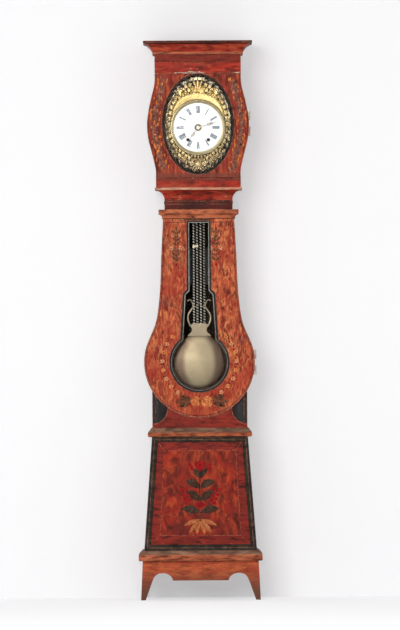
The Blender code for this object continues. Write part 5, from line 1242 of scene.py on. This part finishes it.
def relief_strokes():
    """Raised work of the right half as (path, half width at both ends, height); the left half mirrors it."""
    top, foot = DIAL_Z + 0.136, DIAL_Z - 0.136
    work = []
    for turn, reach in ((90, 0.056), (72, 0.054), (55, 0.047), (38, 0.037), (20, 0.026)):
        t = math.radians(turn)
        tip = (reach * math.cos(t), top + 0.008 + reach * math.sin(t))
        work.append(([(0.012 * math.cos(t), top + 0.008 + 0.012 * math.sin(t)), tip], 0.0022, 0.0062, 0.85))
        work.append(([tip, tip], 0.0062, 0.0062, 1.0))
    work.append(([(0.0, top + 0.006), (0.0, top + 0.006)], 0.0095, 0.0095, 1.0))
    work.append((spiral(0.060, top + 0.008, 0.003, 0.020, 20, 470), 0.0030, 0.0046, 0.95))
    work.append((curve_through([(0.056, top + 0.027), (0.072, top + 0.034), (0.092, top + 0.018),
                                (0.108, top - 0.004), (0.124, top - 0.034)]), 0.0046, 0.0034, 0.9))
    work.append((spiral(0.098, top - 0.012, 0.003, 0.011, 0, 420), 0.0025, 0.0032, 0.9))
    work.append((curve_through([(0.122, top - 0.026), (0.134, DIAL_Z + 0.070), (0.139, DIAL_Z + 0.020),
                                (0.136, DIAL_Z - 0.030), (0.127, DIAL_Z - 0.072), (0.112, DIAL_Z - 0.104)]),
                 0.0036, 0.0036, 0.75))
    for k in range(9):
        z = DIAL_Z + 0.078 - 0.020 * k
        x = 0.135 - 0.9 * (z - DIAL_Z + 0.004) ** 2
        for lean, long in ((62, 0.014), (118, 0.012), (-62, 0.010)):
            t = math.radians(lean)
            work.append(([(x, z), (x + long * math.cos(t), z + long * math.sin(t))], 0.0040, 0.0016, 0.85))
    for x, z, r in ((0.082, top + 0.016, 0.0105), (0.1335, DIAL_Z + 0.030, 0.0072), (0.1325, DIAL_Z - 0.034, 0.0072),
                    (0.104, foot + 0.026, 0.0100), (0.030, foot - 0.018, 0.0095), (0.034, top + 0.046, 0.0075)):
        for k in range(6):
            t = math.radians(60 * k + 15)
            work.append(([(x, z), (x + r * math.cos(t), z + r * math.sin(t))], r * 0.26, r * 0.42, 0.9))
        work.append(([(x, z), (x, z)], r * 0.42, r * 0.42, 1.0))
    work.append((spiral(0.070, foot + 0.002, 0.003, 0.016, 180, 610), 0.0028, 0.0042, 0.95))
    work.append((curve_through([(0.054, foot + 0.001), (0.042, foot - 0.012), (0.020, foot - 0.006), (0.0, foot + 0.004)]),
                 0.0042, 0.0036, 0.9))
    work.append((curve_through([(0.086, foot + 0.004), (0.098, foot + 0.016), (0.114, foot + 0.038)]), 0.0040, 0.0034, 0.9))
    for k in range(5):
        t = math.radians(-90 + 24 * k)
        work.append(([(0.0, foot - 0.016), (0.032 * math.cos(t), foot - 0.018 + 0.034 * math.sin(t))], 0.0020, 0.0052, 0.85))
    work.append(([(0.0, foot - 0.012), (0.0, foot - 0.012)], 0.0085, 0.0085, 1.0))
    for k in range(7):
        t = math.radians(-80 + 10 * k)
        x, z = 0.134 * math.cos(t), DIAL_Z + 0.134 * math.sin(t)
        work.append(([(x, z), (x, z)], 0.0042, 0.0042, 0.9))
    for k, turn in enumerate(range(-84, 88, 9)):
        ends = []
        for lead, inset in ((0, 0.0045), (5, 0.0100 + 0.003 * (k % 2))):
            t = math.radians(turn + lead)
            ends.append(((OVAL_A - inset) * math.cos(t), OVAL_Z + (OVAL_B - inset) * math.sin(t)))
        work.append((ends, 0.0020, 0.0036, 0.75))
    return work


POCKETS = ((0.072, 0.178), (0.097, 0.149), (0.113, 0.127), (0.139, 0.079), (0.143, 0.029), (0.139, -0.008),
           (0.140, -0.034), (0.132, -0.062), (0.118, -0.088), (0.106, -0.113), (0.091, -0.140), (0.070, -0.163),
           (0.040, -0.185), (0.0, -0.192), (0.043, 0.206), (0.024, 0.182))


def relief_heights(px, pz):
    """Height from 0 to 1 of the pressed work at points; the plain cove round the bezel is part of it."""
    rise = np.zeros(len(px))
    x = np.abs(px)
    for path, w0, w1, high in relief_strokes():
        parts = max(1, len(path) - 1)
        for i, ((ax, az), (bx, bz)) in enumerate(zip(path, path[1:])):
            dx, dz = bx - ax, bz - az
            long = dx * dx + dz * dz
            t = np.clip(((x - ax) * dx + (pz - az) * dz) / long, 0, 1) if long > 1e-12 else np.zeros(len(px))
            wide = w0 + (w1 - w0) * (i + t) / parts
            away = np.hypot(x - ax - t * dx, pz - az - t * dz) / wide
            np.maximum(rise, high * np.sqrt(np.clip(1 - away * away, 0, 1)), out=rise)
    reach = np.hypot(px, pz - DIAL_Z)
    edge = np.hypot(px / OVAL_A, (pz - OVAL_Z) / OVAL_B)
    row = (edge - 0.50) / 0.100
    turn = np.arctan2((pz - OVAL_Z) / OVAL_B, x / OVAL_A) * 22 / math.pi + 0.5 * (np.floor(row) % 2)
    across = 2 * (turn - np.floor(turn)) - 1
    along = row - np.floor(row)
    lobe = np.sqrt(np.clip(1 - across ** 2 - (along - 0.15) ** 2, 0, 1))
    vein = 1 - 0.35 * np.clip(1 - np.abs(across) / 0.22, 0, 1)
    cover = np.clip((0.998 - edge) / 0.05, 0, 1)
    for dx, dz in POCKETS:
        cover *= 1 - np.exp(-((x - dx) ** 2 + (pz - DIAL_Z - dz) ** 2) / 0.00021)
    rise = np.maximum(rise * (0.12 + 0.88 * np.clip(1.7 * cover, 0, 1)), 0.50 * lobe * vein * cover)
    plain = 0.121 + 0.024 * np.clip((pz - DIAL_Z - 0.045) / 0.080, 0, 1)
    cove = np.clip((plain - reach) / 0.0030, 0, 1) * (0.30 + 0.25 * np.clip((reach - 0.118) / 0.025, 0, 1))
    inside = reach < plain
    border = np.clip(1 - np.abs(reach - plain) / 0.0035, 0, 1) * (pz > DIAL_Z + 0.045)
    worked = np.where(inside, np.maximum(cove, 0.7 * border), np.maximum(rise, 0.8 * np.sqrt(border)))
    return worked * np.clip((reach - 0.1188) / 0.0012, 0, 1)


class CLOCK_OT_surround(bpy.types.Operator):
    """Pressed brass surround with scrolls, flowers and shells, and its bezel"""
    bl_idname = "clock.surround"
    bl_label = "Dial surround"

    def execute(self, context):
        low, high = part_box("dial_surround")
        ground = high.y - 0.0020
        around, across = 640, 64
        turns = np.linspace(0, 2 * math.pi, around, endpoint=False)
        inner = np.stack((0.1175 * np.cos(turns), DIAL_Z + 0.1175 * np.sin(turns)), 1)
        outer = np.stack(((OVAL_A + 0.0028) * np.cos(turns), OVAL_Z + (OVAL_B + 0.0028) * np.sin(turns)), 1)
        steps = np.linspace(0, 1, across)
        grid = inner[None] + (outer - inner)[None] * steps[:, None, None]
        flat = grid.reshape(-1, 2)
        rise = relief_heights(flat[:, 0], flat[:, 1])
        edge = np.hypot(flat[:, 0] / OVAL_A, (flat[:, 1] - OVAL_Z) / OVAL_B)
        rise *= np.clip((1.008 - edge) / 0.02, 0, 1)
        depth = settings("ornament").relief
        front = np.stack((flat[:, 0], ground - rise * depth, flat[:, 1]), 1)
        ends = np.vstack((grid[0], grid[-1]))
        back = np.stack((ends[:, 0], np.full(len(ends), high.y), ends[:, 1]), 1)
        faces = []
        for i in range(across - 1):
            for k in range(around):
                m = (k + 1) % around
                faces.append((i * around + k, i * around + m, (i + 1) * around + m, (i + 1) * around + k))
        base = across * around
        top = (across - 1) * around
        for k in range(around):
            m = (k + 1) % around
            faces.append((base + k, base + around + k, base + around + m, base + m))
            faces.append((k, base + k, base + m, m))
            faces.append((top + k, top + m, base + around + m, base + around + k))
        mesh = bpy.data.meshes.new("surround_relief")
        mesh.from_pydata(np.vstack((front, back)).tolist(), [], faces)
        mesh.materials.append(bpy.data.materials["relief_brass"])
        # The rim attribute marks where the painted highlight lies near the oval's edge.
        for name, values in (("rise", rise), ("rim", np.clip((edge - 0.80) / 0.18, 0, 1))):
            full = np.concatenate((values, np.zeros(len(back)))).astype(np.float32)
            mesh.attributes.new(name, "FLOAT", "POINT").data.foreach_set("value", full)
        bm = bmesh.new()
        bm.from_mesh(mesh)
        bmesh.ops.recalc_face_normals(bm, faces=bm.faces)
        bm.to_mesh(mesh)
        bm.free()
        mesh.shade_smooth()
        piece = bpy.data.objects.new("surround_relief", mesh)
        context.scene.collection.objects.link(piece)
        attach(piece, "case")
        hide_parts("dial_surround")
        self.bezel(low.y)
        return {"FINISHED"}

    def bezel(self, crest):
        """Polished ring with a rolled edge, a hollow and a fine inner lip."""
        section = [(0.1172, DIAL_FRONT + 0.0020), (0.1180, DIAL_FRONT + 0.0016), (0.1180, DIAL_FRONT - 0.0006),
                   (0.1164, DIAL_FRONT - 0.0008), (0.1162, crest + 0.0022)]
        section += [(0.1144 + 0.0018 * math.cos(t), crest + 0.0020 - 0.0018 * math.sin(t))
                    for t in [math.radians(15 * i) for i in range(1, 9)]]
        section += [(0.1124, crest + 0.0016), (0.1098, crest + 0.0026), (0.1070, crest + 0.0031),
                    (0.1053, crest + 0.0035), (0.1047, crest + 0.0041), (0.1047, DIAL_FRONT - 0.0003),
                    (0.1102, DIAL_FRONT - 0.0003), (0.1103, DIAL_FRONT + 0.0020)]
        bm = bmesh.new()
        lathe(bm, section, facing(0.0, DIAL_Z), 120, ring=True)
        piece = new_piece("dial_bezel", bm, ("bezel_brass",), "case", True)
        piece.data.set_sharp_from_angle(angle=math.radians(40.0))


def pierced(bm, loops, y, rise, slot=0):
    """A plate with holes: the first loop is its outline, its back stands at y."""
    edges, sides, partner = [], [], {}
    for loop in loops:
        face = [bm.verts.new((x, y - rise, z)) for x, z in loop]
        back = [bm.verts.new((x, y, z)) for x, z in loop]
        partner.update(zip(face, back))
        for i in range(len(loop)):
            j = (i + 1) % len(loop)
            edges.append(bm.edges.new((face[i], face[j])))
            sides.append((face[i], face[j], back[j], back[i]))
    filled = bmesh.ops.triangle_fill(bm, use_beauty=True, edges=edges)["geom"]
    made = [one for one in filled if isinstance(one, bmesh.types.BMFace)]
    made += [bm.faces.new([partner[v] for v in reversed(one.verts)]) for one in list(made)]
    made += [bm.faces.new(side) for side in sides]
    for one in made:
        one.material_index = slot


def twisted_rod(bm, x, y, low, high, half, pitch, per_turn=16):
    """A square rod turned about its own axis."""
    steps = max(2, round((high - low) / pitch * per_turn))
    rings = []
    for i in range(steps + 1):
        z = low + (high - low) * i / steps
        turn = 2 * math.pi * (z - low) / pitch
        ring = []
        for k in range(8):
            reach = half * (1.38 if k % 2 else 0.96)
            a = turn + math.pi * k / 4
            ring.append(bm.verts.new((x + reach * math.cos(a), y + reach * math.sin(a), z)))
        rings.append(ring)
    for here, there in zip(rings, rings[1:]):
        for k in range(8):
            m = (k + 1) % 8
            bm.faces.new((here[k], here[m], there[m], there[k]))
    bm.faces.new(rings[0])
    bm.faces.new(list(reversed(rings[-1])))


def rectangle(left, right, low, high):
    return [(left, low), (right, low), (right, high), (left, high)]


class CLOCK_OT_hands(bpy.types.Operator):
    """Openwork rings on the hands and the boss they turn on"""
    bl_idname = "clock.hands"
    bl_label = "Hands"

    def execute(self, context):
        for body, node, places, tip in (("minute_hand", "minute_hand", (0.047, 0.058), 0.0046),
                                        ("hour_hand", "hour_hand", (0.032, 0.041), 0.0046)):
            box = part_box(node)
            front = box[0].y
            turn = self.direction(box)
            bm = bmesh.new()
            for k, reach in enumerate(places):
                wide = tip * (1.25 - 0.35 * k)
                x, z = reach * turn[0], DIAL_Z + reach * turn[1]
                swept(bm, ellipse(x, z, wide, wide, 0, 24), round_section(0.0017, 0.0007, 4), front, closed=True)
            new_piece(node + "_rings", bm, ("hand_metal",), body, True)
        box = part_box("hour_hand")
        bm = bmesh.new()
        front = box[0].y
        section = [(0.0078, front), (0.0150, front), (0.0148, front - 0.0009), (0.0120, front - 0.0014),
                   (0.0078, front - 0.0012)]
        lathe(bm, section, facing(0.0, DIAL_Z), 40, ring=True)
        new_piece("hand_boss", bm, ("boss_metal",), "hour_hand", True)
        return {"FINISHED"}

    def direction(self, box):
        """Unit direction of a hand from the dial's centre, read off its box."""
        low, high = box
        x = low.x if -low.x > high.x else high.x
        z = (low.z if DIAL_Z - low.z > high.z - DIAL_Z else high.z) - DIAL_Z
        size = math.hypot(x, z)
        return x / size, z / size


class CLOCK_OT_pendulum(bpy.types.Operator):
    """Twisted rods, lyre and lens bob of the pendulum"""
    bl_idname = "clock.pendulum"
    bl_label = "Pendulum"

    def execute(self, context):
        self.rods()
        self.lyre()
        self.bob()
        return {"FINISHED"}

    def rods(self):
        """Eye, stirrup, twisted rods, clasp, foot bar, tongue and threaded end."""
        thick = 0.004
        y = PENDULUM_Y + thick / 2
        low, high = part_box("pendulum_grid")
        head, foot = 1.971, 1.187
        half = 0.025
        crutch = PENDULUM_TOP - 0.028
        shoulder = crutch + 0.008
        bm = bmesh.new()
        right = [(half, head), (half, shoulder), (0.004, shoulder + 0.006)]
        right += arc(0.0, PENDULUM_TOP, 0.006, -48.0, 90.0, 10)
        loops = [right + flip(right)[1:], ellipse(0.0, PENDULUM_TOP, 0.0025, 0.0025, 0, 16),
                 ellipse(0.0, crutch, 0.0023, 0.0023, 0, 16),
                 rectangle(-half + 0.008, half - 0.008, 1.9934, crutch - 0.006)]
        pierced(bm, loops, y, thick)
        right = [(0.004, 1.1455), (0.004, foot - 0.012), (half, foot - 0.012), (half, foot)]
        prism(bm, right + flip(right), y, thick)
        plain = len(bm.faces)
        for x in (-0.0225, -0.0075, 0.0075, 0.0225):
            twisted_rod(bm, x, PENDULUM_Y, foot, head, 0.0031, settings("ornament").twist)
        bm.faces.ensure_lookup_table()
        for face in bm.faces[plain:]:
            face.material_index = 1
        lathe(bm, [(0.0, low.z), (0.0027, low.z), (0.0027, 1.1525), (0.0, 1.1525)], upright(0.0, PENDULUM_Y), 16)
        rods = new_piece("pendulum_rods", bm, ("steel", "rod_steel"), "pendulum")
        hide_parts("pendulum_grid")
        bm = bmesh.new()
        prism(bm, rectangle(-0.0268, -0.0032, 1.515, 1.525), y + 0.0018, thick + 0.0036)
        new_piece("rod_clasp", bm, ("lyre_brass",), "pendulum")

    def lyre(self):
        """Slender scrolled arms on a waisted neck that laps over the top of the bob."""
        back = PENDULUM_Y - 0.0056
        rise = 0.0022
        neck = [(0.0515, 1.1335), (0.0440, 1.1415), (0.0350, 1.1490), (0.0318, 1.1580), (0.0325, 1.1680),
                (0.0400, 1.1760), (0.0430, 1.1800), (0.0330, 1.1840), (0.0250, 1.1880)]
        arms = [([(0.0370, 1.1770), (0.0440, 1.1880), (0.0490, 1.2070), (0.0473, 1.2256), (0.0366, 1.2433),
                  (0.0262, 1.2593), (0.0277, 1.2717), (0.0337, 1.2850), (0.0410, 1.2895), (0.0470, 1.2860)],
                 0.0088, 0.0038),
                ([(0.0262, 1.2593), (0.0150, 1.2590), (0.0050, 1.2680), (0.0025, 1.2790)], 0.0048, 0.0030)]
        bm = bmesh.new()
        right = curve_through(neck, 4)
        prism(bm, right + flip(right), back, rise * 0.8)
        prism(bm, rectangle(-0.010, 0.010, 1.1765, 1.1860), PENDULUM_Y - 0.0010, 0.0048)
        for side in (1, -1):
            for k, (points, wide, tip) in enumerate(arms):
                path = [(side * x, z) for x, z in curve_through(points)]
                grow = [1.0 + (tip / wide - 1.0) * i / (len(path) - 1) for i in range(len(path))]
                swept(bm, path, round_section(wide, rise, 6), back, widths=grow)
            x, z = arms[0][0][-1]
            prism(bm, ellipse(side * x, z, 0.0030, 0.0030, 0, 14), back, rise * 0.9)
        lyre = new_piece("pendulum_lyre_work", bm, ("lyre_brass",), "pendulum", True)
        lyre.data.set_sharp_from_angle(angle=math.radians(35.0))
        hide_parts("pendulum_lyre")

    def bob(self):
        """A smooth lens on two pressed shells, with a rolled rim."""
        low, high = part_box("pendulum_bob")
        radius = (high.x - low.x) / 2
        half = (high.y - low.y) / 2
        rim = 0.0012
        rounds = [(radius * math.sin(t), rim + (half - rim) * math.cos(t) ** 1.5)
                  for t in [math.radians(4.0 * i) for i in range(22)]]
        front = rounds + [(radius, rim)]
        profile = [(r, PENDULUM_Y - t) for r, t in front] + [(r, PENDULUM_Y + t) for r, t in reversed(front)]
        bm = bmesh.new()
        lathe(bm, profile, facing(0.0, BELLY_Z), 128)
        bob = new_piece("bob_lens", bm, ("bob_brass",), "bob", True)
        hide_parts("pendulum_bob")


class CLOCK_OT_lines(bpy.types.Operator):
    """Weight lines as plain cords from their drum down to their weight"""
    bl_idname = "clock.lines"
    bl_label = "Weight lines"

    def execute(self, context):
        for side in ("going", "strike"):
            node = side + "_line"
            low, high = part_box(node)
            centre = (low + high) / 2
            radius = (high.y - low.y) / 2
            steps = 60
            bm = bmesh.new()
            profile = [(0.0, low.z)] + [(radius, low.z + (high.z - low.z) * i / steps) for i in range(steps + 1)]
            lathe(bm, profile + [(0.0, high.z)], upright(centre.x, centre.y), 12)
            line = new_piece(node + "_cord", bm, ("gut",), None, True)
            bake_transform(line)
            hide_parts(node)
        return {"FINISHED"}


OPERATORS = (CLOCK_OT_stage, CLOCK_OT_finishes, CLOCK_OT_mouldings, CLOCK_OT_base_panel, CLOCK_OT_trunk_ornament,
             CLOCK_OT_hood_ornament, CLOCK_OT_surround, CLOCK_OT_dial_marks, CLOCK_OT_hands, CLOCK_OT_pendulum,
             CLOCK_OT_lines)


class CLOCK_PT_panel(bpy.types.Panel):
    """Buttons and settings of the clock"""
    bl_idname = "CLOCK_PT_panel"
    bl_label = "Painted Longcase Clock"
    bl_space_type = "VIEW_3D"
    bl_region_type = "UI"
    bl_category = "Clock"

    def draw(self, context):
        for operator in OPERATORS:
            self.layout.operator(operator.bl_idname)
        for group in GROUPS:
            box = self.layout.box()
            values = settings(group.__name__[len("Clock"):].lower())
            for name in group.__annotations__:
                box.prop(values, name)


CLASSES = GROUPS + OPERATORS + (CLOCK_PT_panel,)


def register():
    for one in CLASSES:
        bpy.utils.register_class(one)
    for group in GROUPS:
        setattr(bpy.types.Scene, "clock_" + group.__name__[len("Clock"):].lower(),
                bpy.props.PointerProperty(type=group))


def unregister():
    for group in GROUPS:
        delattr(bpy.types.Scene, "clock_" + group.__name__[len("Clock"):].lower())
    for one in reversed(CLASSES):
        bpy.utils.unregister_class(one)


def main():
    register()
    for operator in OPERATORS:
        family, name = operator.bl_idname.split(".")
        getattr(getattr(bpy.ops, family), name)()


if __name__ == "__main__":
    main()
